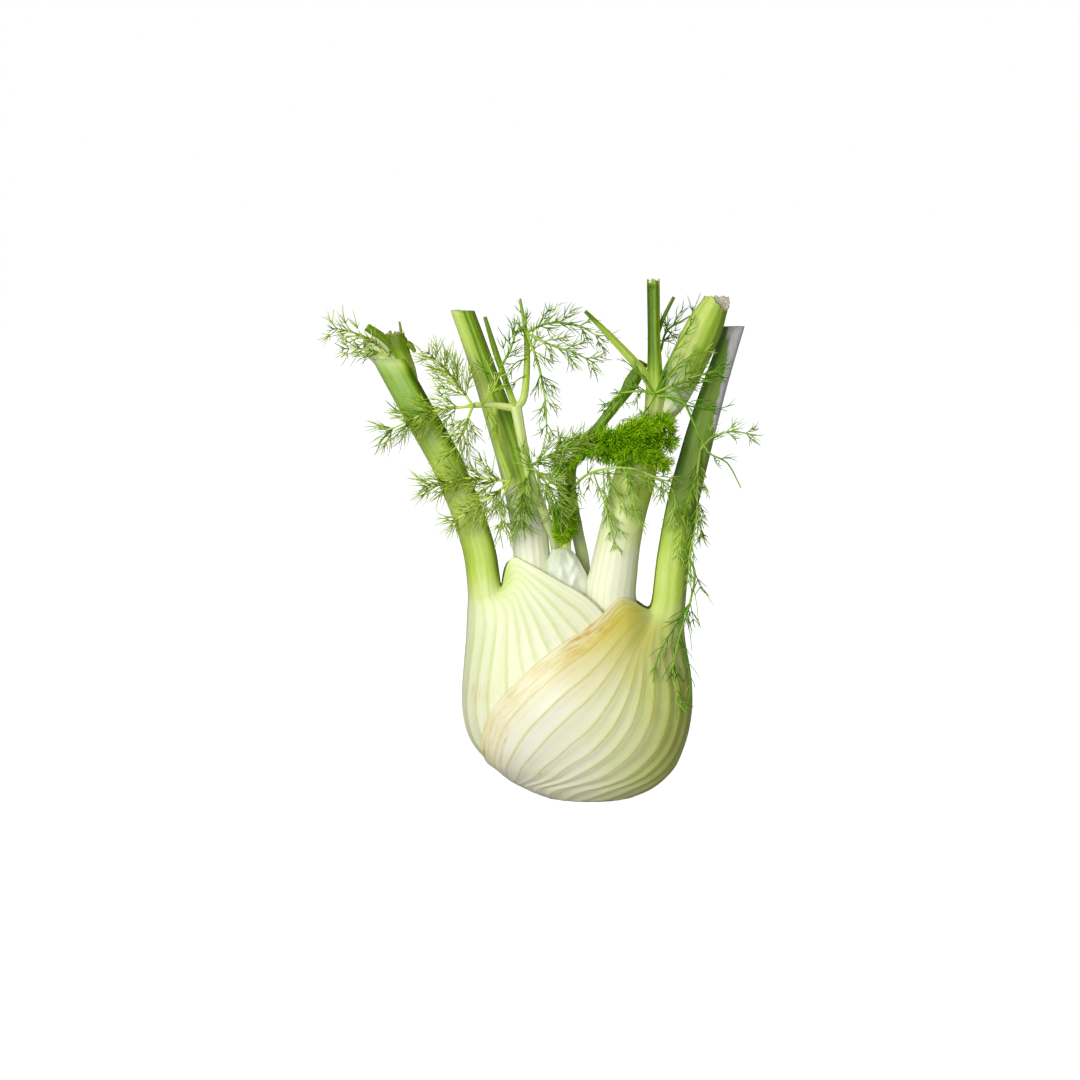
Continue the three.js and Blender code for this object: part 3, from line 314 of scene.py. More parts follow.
def smoothstep(x, low, high):
    """Rises smoothly from 0 at low to 1 at high."""
    t = np.clip((np.asarray(x, float) - low) / (high - low), 0, 1)
    return t * t * (3 - 2 * t)


def through(lists, t):
    """A smooth curve through equally spaced rows of numbers, at each t from 0 to 1."""
    lists = np.asarray(lists, float)
    last = len(lists) - 1
    place = np.asarray(t, float) * last
    i = np.clip(np.floor(place), 0, last - 1).astype(int)
    f = (place - i).reshape(place.shape + (1,) * (lists.ndim - 1))
    before = 2 * lists[0] - lists[1]
    after = 2 * lists[-1] - lists[-2]
    ends = np.concatenate([[before], lists, [after]])
    p, a, b, q = (ends[i + k] for k in range(4))
    return a + 0.5 * f * (b - p + f * (2 * p - 5 * a + 4 * b - q + f * (3 * (a - b) + q - p)))


def table_at(table, x):
    """The rows of a table at each x, its first column, with no creases between its rows."""
    table = np.asarray(table, float)
    keys = table[:, 0]
    x = np.clip(np.asarray(x, float), keys[0], keys[-1])
    i = np.searchsorted(keys[1:-1], x, "left")
    rows = np.arange(len(table))
    low, high = table[np.maximum(rows - 1, 0)], table[np.minimum(rows + 1, len(table) - 1)]
    slope = (high - low) / (high[:, :1] - low[:, :1])
    h = (keys[i + 1] - keys[i])[..., None]
    f = (x - keys[i])[..., None] / h
    a, b = table[i], table[i + 1]
    bend = h * f * (1 - f) * ((1 - f) * slope[i] - f * slope[i + 1])
    return a + (b - a) * f * f * (3 - 2 * f) + bend


def unit(vectors):
    """The same directions, each 1 long."""
    return vectors / np.maximum(np.linalg.norm(vectors, axis=-1, keepdims=True), 1e-9)


def power(x, exponent):
    """A power of the size of x, with the sign of x."""
    return np.sign(x) * np.abs(x) ** exponent


def stem_at(stations, t):
    """A stem's centre, half width, half depth, and its directions sideways and forward."""
    place = through(stations, t)
    ahead = through(stations, np.minimum(np.asarray(t) + SHORT_WAY, 1))
    behind = through(stations, np.maximum(np.asarray(t) - SHORT_WAY, 0))
    along = unit((ahead - behind)[..., :3])
    side = unit(np.cross(along, [0.0, -1.0, 0.0]))
    return place[..., :3], place[..., 3:4], place[..., 4:5], side, np.cross(side, along)


def bulb_point(angle, height, inset):
    """A point on the bulb at an angle from +X towards the front, below its face by an inset."""
    _, left, right, depth, lean = np.moveaxis(table_at(BULB, height), -1, 0)
    lean = np.radians(lean)
    inwards = inset * np.cos(lean)
    turn = np.radians(angle)
    reach = (right - left) / 2 - inwards
    return np.stack([
        (left + right) / 2 + reach * power(np.cos(turn), 2 / ROUNDNESS),
        -(depth - inwards) * power(np.sin(turn), 2 / ROUNDNESS),
        height + inset * np.sin(lean),
    ], -1)


def vein_point(veins, u, v):
    """Angle and height on a sheath for rows v and columns u, from the back edge to the front."""
    veins = np.asarray(veins, float)
    along = np.stack([through(vein, v) for vein in veins])
    back = along[:0:-1].copy()
    back[..., 0] *= -(BACK_REACH + (1 - BACK_REACH) * v * v)
    across = through(np.concatenate([back, along]), (u + 1) / 2)
    rows = v[:, None]
    lowered = BACK_DROP * smoothstep(-u, 0.7, 1) * smoothstep(rows, 0.7, 0.86)
    height = across[..., 1].T - lowered * (1 - smoothstep(rows, 0.92, 1))
    return across[..., 0].T, height * (1 - ROOT_TUCK * (1 - smoothstep(rows, 0, 0.1)))


def arc_share(u):
    """The share of a stalk's back that a vein keeps to: the outer ones crowd at its corners."""
    beyond = np.maximum(np.abs(u) - 1 / 3, 0) * 1.5
    share = 3 * MIDDLE_SHARE * np.minimum(np.abs(u), 1 / 3) + (1 - MIDDLE_SHARE) * beyond
    return np.sign(u) * share


def stalk_point(leaf, u, t, is_outer, sink):
    """A stalk's skin: its ribbed back, and its inner face with the channel."""
    centre, across, deep, side, front = stem_at(leaf["stalk"], t)
    across, deep = across[..., 0], deep[..., 0]
    corner = math.radians(CORNER)
    if is_outer:
        turn = corner * arc_share(u)
        out = (across - sink) * power(np.cos(turn), STALK_POWER)
        forward = (deep - sink) * power(np.sin(turn), STALK_POWER)
    else:
        edge = power(np.cos(corner), STALK_POWER)
        out = (across - CORNER_INSET[0] - sink) * edge + (CHANNEL + sink) * (1 - u * u)
        forward = (deep - CORNER_INSET[1] - sink) * power(np.sin(corner), STALK_POWER) * u
    return centre + side * (out * leaf["facing"])[..., None] + front * forward[..., None]


def sheath_point(leaf, u, v, is_outer, sink):
    """A sheath's face for rows v and columns u, drawn over to its stalk's foot near the top."""
    angle, height = vein_point(leaf["veins"], u, v)
    if leaf["facing"] < 0:
        angle = 180 - angle
    size = np.abs(u)[None, :]
    rows = v[:, None]
    proud = leaf["proud"] * smoothstep(size, *PROUD_FADE)
    wall = 0 if is_outer else leaf["wall"](size, rows)
    on_bulb = bulb_point(angle, height, wall + sink - proud)
    across = np.broadcast_to(u, angle.shape)
    foot = stalk_point(leaf, across, np.zeros(angle.shape), is_outer, sink)
    share = smoothstep(rows, DRAW_IN + DRAW_IN_DELAY * size, 1)[..., None]
    return on_bulb + (foot - on_bulb) * share


def reach_of_cut(surface, columns, cut):
    """How far up each column of a surface a flat cut comes. A cut is a direction and how far
    along it the cut lies."""
    direction, away = cut
    low, high = np.zeros(columns), np.ones(columns)
    for _ in range(HALVINGS):
        middle = (low + high) / 2
        is_beyond = surface(middle) @ np.array(direction) > away
        high = np.where(is_beyond, middle, high)
        low = np.where(is_beyond, low, middle)
    return low


def level(height):
    """A level cut at a height."""
    return (0, 0, 1), height


# ---- meshes ------------------------------------------------------------------------------------


def ring_faces(rows, columns):
    """Faces between rows of points that go all the way round."""
    r, c = np.meshgrid(np.arange(rows - 1), np.arange(columns), indexing="ij")
    a = r * columns + c
    b = r * columns + (c + 1) % columns
    return np.stack([a, b, b + columns, a + columns], -1).reshape(-1, 4)


def is_inside_out(points, faces):
    """Whether the faces of a closed mesh point inwards, from the sign of its volume."""
    a, b, c = (points[faces[:, k]] for k in (0, 1, 2))
    volume = np.einsum("ij,ij->i", a, np.cross(b, c)).sum()
    if faces.shape[1] == 4:
        d = points[faces[:, 3]]
        volume += np.einsum("ij,ij->i", a, np.cross(c, d)).sum()
    return volume < 0


def merged(points, faces, slots):
    """Closes up points that coincide, and drops faces that are left with no area."""
    _, index, place = np.unique(np.round(points, 4), axis=0, return_index=True, return_inverse=True)
    rounds = [list(dict.fromkeys(face)) for face in place.reshape(-1)[faces].tolist()]
    kept = [i for i, corners in enumerate(rounds) if len(corners) > 2]
    return index, [rounds[i] for i in kept], slots[kept]


def add_mesh(name, points, faces, attributes, materials, slots):
    """A smooth mesh from points in millimetres, with a number on each point per attribute."""
    if is_inside_out(points, faces):
        faces = faces[:, ::-1]
    index, rounds, slots = merged(points, faces, slots)
    mesh = bpy.data.meshes.new(name)
    mesh.from_pydata((points[index] * MM).tolist(), [], rounds)
    for key, values in attributes.items():
        layer = mesh.attributes.new(key, "FLOAT", "POINT")
        layer.data.foreach_set("value", np.asarray(values, np.float32).ravel()[index])
    for material in materials:
        mesh.materials.append(material)
    mesh.polygons.foreach_set("material_index", slots.astype(np.int32))
    mesh.shade_smooth()
    piece = bpy.data.objects.new(name, mesh)
    bpy.context.scene.collection.objects.link(piece)
    return piece


def hand_over(piece, slot, *nodes):
    """Fixes a piece to the one body, and hides the solids that it stands for; its slot is not used.
    """
    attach(piece, "root")
    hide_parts(*nodes)


def rough(place, coarse, seed):
    """An uneven number from -1 to 1 for each place, for torn and worn faces."""
    x, y, z = np.moveaxis(place * coarse + seed, -1, 0)
    waves = np.sin(x * 1.9 + 2 * np.sin(y * 1.3)) + np.sin(y * 2.3 + 1.7 * np.sin(z * 1.1 + x))
    return (waves + np.sin(z * 2.9 + 2 * np.sin(x * 1.7))) / 3


CAP_SHARES = (0.06, 0.2, 0.4, 0.6, 0.8, 1.0)
WORN_ROWS = 16              # rows below a torn top that are uneven too
WORN_FINENESS = 1.3


def capped(rings, middles, hollow):
    """Adds rings that close a skin's last ring towards its middle line, a little hollow."""
    last = rings[-1]
    caps = [last + (middles - last) * share - [0, 0, hollow * share] for share in CAP_SHARES]
    return np.concatenate([rings, caps])


def closed_skin(name, rings, middles, attributes, materials, slot, nodes, hollow, ragged=0):
    """A skin of rings, its two ends closed towards middle lines. The top end shows the pith, and
    may be torn: the name's length picks how."""
    rows, columns = rings.shape[:2]
    extra = len(CAP_SHARES)
    whole = capped(rings, middles[1], hollow)
    whole = capped(whole[::-1], middles[0], 0)[::-1]
    if ragged:
        worn = smoothstep(np.arange(len(whole)), rows + extra - WORN_ROWS, rows + extra)[:, None]
        whole[..., 2] += ragged * worn * rough(whole, WORN_FINENESS, len(name))
    row = np.repeat(np.arange(len(whole) - 1), columns)
    slots = np.where(row >= rows + extra - 1, 1, 0)
    spread = {}
    for key, values in attributes.items():
        values = np.broadcast_to(values, (rows, columns))
        lower = np.repeat(values[:1], extra, 0)
        upper = np.repeat(values[-1:], extra, 0)
        spread[key] = np.concatenate([lower, values, upper])
    faces = ring_faces(len(whole), columns)
    piece = add_mesh(name, whole.reshape(-1, 3), faces, spread, materials, slots)
    hand_over(piece, slot, *nodes)


# ---- node wiring -------------------------------------------------------------------------------


def colour(code):
    """A colour code as the linear colour that a shader takes."""
    parts = [int(code[i:i + 2], 16) / 255 for i in (1, 3, 5)]
    linear = [c / 12.92 if c <= 0.04045 else ((c + 0.055) / 1.055) ** 2.4 for c in parts]
    return (*linear, 1.0)


class Wiring:
    """Places nodes in a material or a group, and links them."""

    def __init__(self, tree):
        self.tree = tree

    def put(self, kind, inputs=None, **settings):
        """A new node with its settings, and inputs that are values or other nodes' sockets."""
        node = self.tree.nodes.new(kind)
        for key, value in settings.items():
            setattr(node, key, value)
        for key, value in (inputs or {}).items():
            self.feed(node.inputs[key], value)
        return node

    def feed(self, socket, value):
        """Links an input to another node's socket, or sets its value."""
        if isinstance(value, bpy.types.NodeSocket):
            self.tree.links.new(value, socket)
        else:
            socket.default_value = value

    def attribute(self, name):
        """A number that the mesh has on each of its points."""
        return self.put("ShaderNodeAttribute", attribute_name=name).outputs["Fac"]

    def place(self):
        """Where on the piece a point is, in metres."""
        return self.put("ShaderNodeTexCoord").outputs["Object"]

    def math(self, operation, a, b=0.0):
        return self.put("ShaderNodeMath", {0: a, 1: b}, operation=operation).outputs[0]

    def sway(self, mask, amount):
        """A mask from 0 to 1 as a number that sways about 0."""
        return self.math("MULTIPLY", self.math("SUBTRACT", mask, 0.5), amount)

    def between(self, value, low, high, start=0.0, end=1.0):
        """Rises smoothly from start to end as a value goes from low to high."""
        sockets = {
            "Value": value, "From Min": low, "From Max": high, "To Min": start, "To Max": end,
        }
        node = self.put("ShaderNodeMapRange", sockets, interpolation_type="SMOOTHSTEP")
        return node.outputs["Result"]

    def mix(self, factor, a, b, blend="MIX"):
        node = self.put("ShaderNodeMix", {0: factor, 6: a, 7: b}, data_type="RGBA", blend_type=blend)
        return node.outputs[2]

    def ramp(self, value, stops):
        """The colour of a value, from stops that are a position and a colour code."""
        node = self.put("ShaderNodeValToRGB", {0: value})
        elements = node.color_ramp.elements
        while len(elements) < len(stops):
            elements.new(0.5)
        for element, (position, code) in zip(elements, stops):
            element.position = position
            element.color = colour(code)
        return node.outputs[0]

    def noise(self, vector, scale, detail=2.0, roughness=0.5):
        sockets = {"Vector": vector, "Scale": scale, "Detail": detail, "Roughness": roughness}
        return self.put("ShaderNodeTexNoise", sockets).outputs["Fac"]

    def vector(self, x, y, z=0.0):
        return self.put("ShaderNodeCombineXYZ", {0: x, 1: y, 2: z}).outputs[0]

    def bump(self, height, strength, distance):
        sockets = {"Strength": strength, "Distance": distance, "Height": height}
        return self.put("ShaderNodeBump", sockets).outputs["Normal"]

    def group(self, tree, **inputs):
        """A group with its inputs, each under its socket's name in small letters."""
        node = self.put("ShaderNodeGroup", node_tree=tree)
        for key, value in inputs.items():
            self.feed(node.inputs[key.capitalize()], value)
        return node.outputs


def node_group(name, inputs, outputs):
    """An empty group with named numbers in and out, and the wiring to fill it with."""
    tree = bpy.data.node_groups.new(name, "ShaderNodeTree")
    for key, value in inputs.items():
        socket = tree.interface.new_socket(key, in_out="INPUT", socket_type="NodeSocketFloat")
        socket.default_value = value
    for key in outputs:
        tree.interface.new_socket(key, in_out="OUTPUT", socket_type="NodeSocketFloat")
    wiring = Wiring(tree)
    return tree, wiring, wiring.put("NodeGroupInput").outputs, wiring.put("NodeGroupOutput")


# ---- effects that the materials share ----------------------------------------------------------


def vein_line_group():
    """Thin lines on the crests of the ribs, of one width however close the ribs stand."""
    defaults = {"Rib": 0.0, "Spacing": 5.0, "Width": 0.5}
    tree, w, given, result = node_group("vein lines", defaults, ["Line"])
    off_crest = w.math("MULTIPLY", w.math("PINGPONG", given["Rib"], 0.5), given["Spacing"])
    line = w.between(w.math("DIVIDE", off_crest, given["Width"]), 0.0, 1.0, 1.0, 0.0)
    w.feed(result.inputs["Line"], w.math("MULTIPLY", line, w.between(given["Spacing"], 0.5, 2.2)))
    return tree


def fibre_group():
    """Long streaks that follow the ribs, coarse and fine."""
    defaults = {"Rib": 0.0, "Along": 0.0, "Stretch": 0.03}
    tree, w, given, result = node_group("long fibres", defaults, ["Streaks", "Fine", "Long"])
    up = w.math("MULTIPLY", given["Along"], given["Stretch"])
    w.feed(result.inputs["Streaks"], w.noise(w.vector(given["Rib"], up), 1.6, 3.0))
    w.feed(result.inputs["Fine"], w.noise(w.vector(given["Rib"], up, 7.0), 9.0, 3.0, 0.6))
    slow = w.math("MULTIPLY", up, 0.3)
    w.feed(result.inputs["Long"], w.noise(w.vector(given["Rib"], slow, 3.0), 10.0, 2.0, 0.6))
    return tree


def fleck_group():
    """Tiny specks, here and there."""
    defaults = {"Scale": 260.0, "Share": 0.1, "Size": 0.12}
    tree, w, given, result = node_group("flecks", defaults, ["Mask"])
    cells = w.put("ShaderNodeTexVoronoi", {"Vector": w.place(), "Scale": given["Scale"]})
    near = w.math("LESS_THAN", cells.outputs["Distance"], given["Size"])
    pick = w.put("ShaderNodeSeparateColor", {0: cells.outputs["Color"]}).outputs[0]
    picked = w.math("LESS_THAN", pick, given["Share"])
    w.feed(result.inputs["Mask"], w.math("MULTIPLY", near, picked))
    return tree


def mottle_group():
    """Soft uneven patches over a surface."""
    defaults = {"Scale": 60.0, "Low": 0.4, "High": 0.7}
    tree, w, given, result = node_group("mottling", defaults, ["Mask"])
    cloud = w.noise(w.place(), given["Scale"], 4.0, 0.55)
    w.feed(result.inputs["Mask"], w.between(cloud, given["Low"], given["High"]))
    return tree


def cut_grain_group():
    """The uneven grain of a cut or torn face, and how rough the grain makes it."""
    defaults = {"Scale": 700.0, "Detail": 5.0, "Fineness": 0.7, "Low": 0.4, "High": 0.7}
    tree, w, given, result = node_group("cut grain", defaults, ["Grain", "Roughness"])
    grain = w.noise(w.place(), given["Scale"], given["Detail"], given["Fineness"])
    w.feed(result.inputs["Grain"], grain)
    w.feed(result.inputs["Roughness"], w.between(grain, 0.3, 0.7, given["Low"], given["High"]))
    return tree


VEIN_LINES = vein_line_group()
FIBRES = fibre_group()
FLECKS = fleck_group()
MOTTLING = mottle_group()
CUT_GRAIN = cut_grain_group()


# ---- skins and cut faces -----------------------------------------------------------------------


def new_material(name):
    """A material with a plain shader, and the wiring to feed the shader with."""
    material = bpy.data.materials.new(name)
    material.use_nodes = True
    material.node_tree.nodes.clear()
    w = Wiring(material.node_tree)
    shader = w.put("ShaderNodeBsdfPrincipled")
    output = w.put("ShaderNodeOutputMaterial")
    w.feed(output.inputs["Surface"], shader.outputs[0])
    return material, w, shader


YELLOWED, FRAYED, SPECK, BLUISH = "#F0E288", "#E6DD9C", "#7A6A32", "#70A05A"
PEELED_TONES = ("#E2E3E2", "#FCFCFC")


def uneven_green(w, fibres, patches):
    """How green a skin is: as its mesh says, but uneven along its fibres and in soft patches."""
    green = w.math("ADD", w.attribute("green"), w.sway(fibres["Streaks"], 0.2))
    fine = w.math("MULTIPLY", w.sway(fibres["Fine"], 0.14), w.between(green, 0.1, 0.5))
    green = w.math("ADD", green, fine)
    return w.math("ADD", green, w.sway(patches, 0.07))


def skin_lines(w, fibres, rib, spacing, width):
    """The veins on a skin's ribs, with two fainter hairs between each two of them."""
    veins = w.group(VEIN_LINES, rib=rib, spacing=spacing, width=width)["Line"]
    veins = w.math("MULTIPLY", veins, w.between(fibres["Fine"], 0.2, 0.6, 0.35, 0.8))
    close, tight = w.math("MULTIPLY", rib, 3.0), w.math("DIVIDE", spacing, 2.2)
    hairs = w.group(VEIN_LINES, rib=close, spacing=tight, width=0.35)["Line"]
    hairs = w.math("MULTIPLY", hairs, w.between(fibres["Long"], 0.35, 0.65, 0.0, 0.4))
    return w.math("MULTIPLY", w.math("MAXIMUM", veins, hairs), w.attribute("lines"))


def with_marks(w, base, fibres, stain_and_shade):
    """A skin's colour with what has happened to it, from yellowing to strips peeled off, and with
    any painted shade.
    """
    base = w.mix(w.attribute("yellow"), base, colour(YELLOWED), "MULTIPLY")
    thread = w.math("MULTIPLY", w.attribute("margin"), w.between(fibres["Long"], 0.4, 0.6))
    base = w.mix(thread, base, colour(FRAYED), "MULTIPLY")
    blotch = w.between(w.noise(w.place(), 110.0, 5.0, 0.65), 0.36, 0.6, 0.2, 1.0)
    blotch = w.math("MULTIPLY", blotch, w.between(fibres["Long"], 0.44, 0.6, 0.25, 1.0))
    # Stains, and on the right leaf painted shade as well, in the stain colour and broken up in
    # blotches.
    stain_and_shade_amount = w.math("MULTIPLY", w.attribute("stain_and_shade"), blotch)
    base = w.mix(w.math("MINIMUM", stain_and_shade_amount, 1.0), base, colour(stain_and_shade), "MULTIPLY")
    speck = w.group(FLECKS, scale=240.0, share=0.05, size=0.13)["Mask"]
    base = w.mix(w.math("MULTIPLY", speck, 0.55), base, colour(SPECK))
    base = w.mix(w.attribute("cool"), base, colour(BLUISH))
    bare = w.mix(w.between(fibres["Fine"], 0.3, 0.7), *map(colour, PEELED_TONES))
    return w.mix(w.attribute("peel"), base, bare)


def leaf_skin(name, greens, vein, stain_and_shade, shine=0.42, vein_width=0.8):
    """The waxy skin of a leaf base or stalk. The mesh says how green it is, and where it has stains
    and painted shade.
    """
    material, w, shader = new_material(name)
    rib, spacing, along = (w.attribute(key) for key in ("rib", "spacing", "along"))
    fibres = w.group(FIBRES, rib=rib, along=along)
    patches = w.group(MOTTLING, scale=45.0, low=0.35, high=0.75)["Mask"]
    base = w.ramp(uneven_green(w, fibres, patches), greens)
    lines = skin_lines(w, fibres, rib, spacing, vein_width)
    base = w.mix(lines, base, colour(vein), "MULTIPLY")
    w.feed(shader.inputs["Base Color"], with_marks(w, base, fibres, stain_and_shade))
    w.feed(shader.inputs["Roughness"], w.between(patches, 0.0, 1.0, shine - 0.06, shine + 0.08))
    height = w.math("ADD", w.math("MULTIPLY", fibres["Fine"], 0.6), fibres["Streaks"])
    w.feed(shader.inputs["Normal"], w.bump(height, 0.45, 0.0003))
    w.feed(shader.inputs["Subsurface Weight"], 0.15)
    w.feed(shader.inputs["Subsurface Radius"], (1.0, 0.9, 0.4))
    w.feed(shader.inputs["Subsurface Scale"], 0.0006)
    w.feed(shader.inputs["Specular IOR Level"], 0.3)
    return material


def cut_face(name, bumps, **grain):
    """A cut or torn face's material, with its colour still to be fed from its grain."""
    material, w, shader = new_material(name)
    face = w.group(CUT_GRAIN, **grain)
    w.feed(shader.inputs["Roughness"], face["Roughness"])
    w.feed(shader.inputs["Normal"], w.bump(face["Grain"], *bumps))
    return material, w, face["Grain"], shader.inputs["Base Color"]


def cut_pith():
    """The wet spongy face of a cut stalk, with the ends of its fibres as dots."""
    material, w, grain, base = cut_face(
        "cut stalk", (0.6, 0.0004), scale=900.0, detail=4.0, fineness=0.7, low=0.4, high=0.7)
    pale, fibre = colour("#EAF3D2"), colour("#B9CF8A")
    sponge = w.mix(w.between(grain, 0.35, 0.7), pale, fibre)
    dots = w.group(FLECKS, scale=700.0, share=0.5, size=0.25)["Mask"]
    w.feed(base, w.mix(w.math("MULTIPLY", dots, 0.5), sponge, fibre))
    return material


def torn_pith():
    """The dry, frayed face of a torn stem."""
    material, w, grain, base = cut_face(
        "torn pith", (0.9, 0.0006), scale=700.0, detail=5.0, fineness=0.7, low=0.5, high=0.8)
    w.feed(base, w.ramp(grain, [(0.3, "#C9BC8A"), (0.5, "#EDE8CC"), (0.7, "#FAF8EE")]))
    return material


def corky_root():
    """The brown, porous face of the cut root."""
    material, w, grain, base = cut_face(
        "cut root", (0.8, 0.0006), scale=320.0, detail=5.0, fineness=0.65, low=0.65, high=0.85)
    cork = w.ramp(grain, [(0.3, "#B79B62"), (0.5, "#D9CBA0"), (0.7, "#ECE5C8")])
    pores = w.group(FLECKS, scale=420.0, share=0.5, size=0.22)["Mask"]
    w.feed(base, w.mix(w.math("MULTIPLY", pores, 0.6), cork, colour("#8A6B3A")))
    return material


# ---- outer leaves ------------------------------------------------------------------------------

RIB_COUNT = 24              # ribs on one outer sheath, from edge to edge
EDGE_THINNING = 0.25        # how much a sheath thins out towards its free edge
RIB_DEPTH = 0.35            # height of a rib that is a full spacing wide
FULL_SPACING = 5.5
INNER_SPACING = 1.2         # of the faint lines on a leaf's inner face
FRONT_FADING = 0.5          # how much lower the ribs near a sheath's front edge are
FLOOR_GAP = 0.05            # the sheaths end this much above the root face
STALK_RELIEF = 0.4          # how strong the ribs are on a stalk, against those of its sheath
SKIN_SINK = 0.2             # the whole skin stands this much inside the solid leaf's
JOIN_ROWS = (84, 124)       # rows over which a sheath is smoothed into its stalk
JOIN_EASE = (14, 12)        # rows at their two ends over which the smoothing sets in
JOIN_PASSES = 40
SHEATH_ROWS = 110
STALK_ROWS = 64
OUTER_COLUMNS = 240
INNER_COLUMNS = 60
EDGE_STEPS = (0.25, 0.75)   # points that round off a leaf's free edge
EDGE_BULGE = 0.3            # how far they stand out, against the edge's thickness
MARGIN = (0.84, 0.95)       # share of a sheath's half width where its fine-ribbed margin sets in
MARGIN_RIBS = 3             # fine ribs of the margin to each rib
MARGIN_DEPTH = 0.08
PROUD = 1.3                 # how far the right leaf's free edge stands off the bulb
PROUD_FADE = (0.6, 0.9)     # share of a sheath's half width where it starts to stand off
CLEARANCE = 0.6             # kept under the right leaf by the left one
LEAST_COVER = 0.25          # how far the left leaf is pressed in at the right leaf's very edge
COVER_FADE = (2.5, 5)       # distances from the right leaf over which the pressing fades out
COVER_GRID = (50, 61)       # rows and columns of the right leaf that the left one is held against
COVER_NEIGHBOURS = 4        # points of that grid that share in how far a place is pressed in


def right_wall(size, _):
    """The right sheath's thickness, from its middle to its free edges."""
    thin = 0.9 + 2.5 * (1 - smoothstep(size, 0.6, 0.92))
    return thin + 3.6 * (1 - smoothstep(size, 0.1, 0.35))


def left_wall(size, v):
    """The left sheath's thickness, which only thins out at the free edges of its upper part."""
    return 7.4 - 6 * smoothstep(size, 0.82, 1) * smoothstep(v, 0.4, 0.7)


RIGHT_LEAF = {
    "facing": 1, "veins": RIGHT_VEINS, "stalk": RIGHT_STALK, "proud": PROUD, "wall": right_wall,
    "top": RIGHT_TOP, "relief": 1,
}
LEFT_LEAF = {
    "facing": -1, "veins": LEFT_VEINS, "stalk": LEFT_STALK, "proud": 0, "wall": left_wall,
    "top": LEFT_TOP, "relief": 0.6,
}


def rib_place(u):
    """Which rib a column is on: ribs are of uneven width."""
    uneven = 0.014 * np.sin(9 * u + 1) + 0.007 * np.sin(23 * u)
    return RIB_COUNT / 2 * (u + 1 + uneven)


def wave(rib):
    """1 at each whole number, and 0 half way between two."""
    return 0.5 + 0.5 * np.cos(2 * np.pi * rib)


def rib_height(rib):
    """1 on the crest of a rib, 0 between two."""
    return wave(rib) ** 1.1


def leaf_face(leaf, u, is_outer, sheath_sink=0, stalk_sink=0):
    """One face of a whole leaf: the rows of its sheath, then those of its stalk."""
    v = np.linspace(0, 1, SHEATH_ROWS)
    sheath = sheath_point(leaf, u, v, is_outer, sheath_sink)

    def column(t, sink=0):
        return stalk_point(leaf, np.broadcast_to(u, t.shape), t, is_outer, sink)

    top = reach_of_cut(column, len(u), level(leaf["top"]))
    t = np.linspace(0, 1, STALK_ROWS)[1:, None] * top
    return eased(np.concatenate([sheath, column(t, stalk_sink)]))


def eased(face):
    """A leaf's face with the crease between its sheath and its stalk smoothed away."""
    first, last = JOIN_ROWS
    rows = np.arange(len(face))
    rise, fall = JOIN_EASE
    weight = smoothstep(rows, first, first + rise) * (1 - smoothstep(rows, last - fall, last))
    weight = 0.5 * weight[1:-1, None, None]
    for _ in range(JOIN_PASSES):
        middle = (face[:-2] + face[2:]) / 2
        face[1:-1] += (middle - face[1:-1]) * weight
    return face


def below_join(u, stage):
    """Fades the ribs out where a sheath gathers at the foot of its stalk."""
    near = smoothstep(stage, 0.62, 0.93) * (1 - smoothstep(stage, 1.0, 1.15))
    return 1 - near * (0.6 + 0.3 * smoothstep(u, 0.2, 0.5))


def relief(flat, u, strength):
    """How far each point of a face is sunk to leave ribs standing, and the ribs' spacing."""
    rib = rib_place(u)
    step = np.linalg.norm(np.gradient(flat, axis=1), axis=-1)
    spacing = step / np.maximum(np.gradient(rib), 1e-6)
    size = np.clip(spacing / FULL_SPACING, 0.16, 1.15)
    margin = smoothstep(np.abs(u), *MARGIN)
    fine = MARGIN_DEPTH * margin * wave(MARGIN_RIBS * rib)
    thinning = EDGE_THINNING * smoothstep(np.abs(u), 0.85, 1)
    depth = RIB_DEPTH * strength * size ** 1.4 * (1 - 0.85 * margin)
    return depth * (1 - rib_height(rib)) + fine + thinning, spacing


def cover_by_right_leaf(flat):
    """How far the left leaf is pressed in below the right leaf that lies on it."""
    rows, columns = COVER_GRID
    u = np.linspace(-1, 1, columns)
    v = np.linspace(0, 1, rows)
    proud = PROUD * smoothstep(np.abs(u), *PROUD_FADE)
    on_bulb = sheath_point(RIGHT_LEAF, u, v, True, proud)
    need = np.maximum(right_wall(np.abs(u), v) - proud + CLEARANCE, LEAST_COVER)
    need = np.where(np.abs(u) > 0.97, LEAST_COVER, need)
    need = np.broadcast_to(need, (rows, columns)).ravel()
    tree = KDTree(need.size)
    for i, point in enumerate(on_bulb.reshape(-1, 3)):
        tree.insert(point, i)
    tree.balance()
    end, start = COVER_FADE
    sink = np.zeros(flat.shape[0] * flat.shape[1])
    for i, point in enumerate(flat.reshape(-1, 3)):
        found = tree.find_n(point, COVER_NEIGHBOURS)
        weight = np.array([1 / (distance + 0.05) for _, _, distance in found])
        near = smoothstep(-found[0][2], -start, -end)
        sink[i] = near * (weight * need[[index for _, index, _ in found]]).sum() / weight.sum()
    return sink.reshape(flat.shape[:2])


def ring_of(outer, inner):
    """Rings round a leaf's section: its outer face, a rounded edge, its inner face, an edge."""

    def edge(start, end, away):
        out = away * EDGE_BULGE * np.linalg.norm(end - start, axis=-1, keepdims=True)
        return np.stack([start + (end - start) * share + out for share in EDGE_STEPS], 1)

    front = edge(outer[:, -1], inner[:, 0], unit(outer[:, -1] - outer[:, -4]))
    back = edge(inner[:, -1], outer[:, 0], unit(outer[:, 0] - outer[:, 3]))
    return np.concatenate([outer, front, inner, back], 1)


def edge_ring(outer, inner):
    """The same for a number that each point of the two faces has."""
    count = len(EDGE_STEPS)
    front = np.repeat(outer[..., -1:], count, -1)
    back = np.repeat(outer[..., :1], count, -1)
    return np.concatenate([outer, front, inner, back], -1)


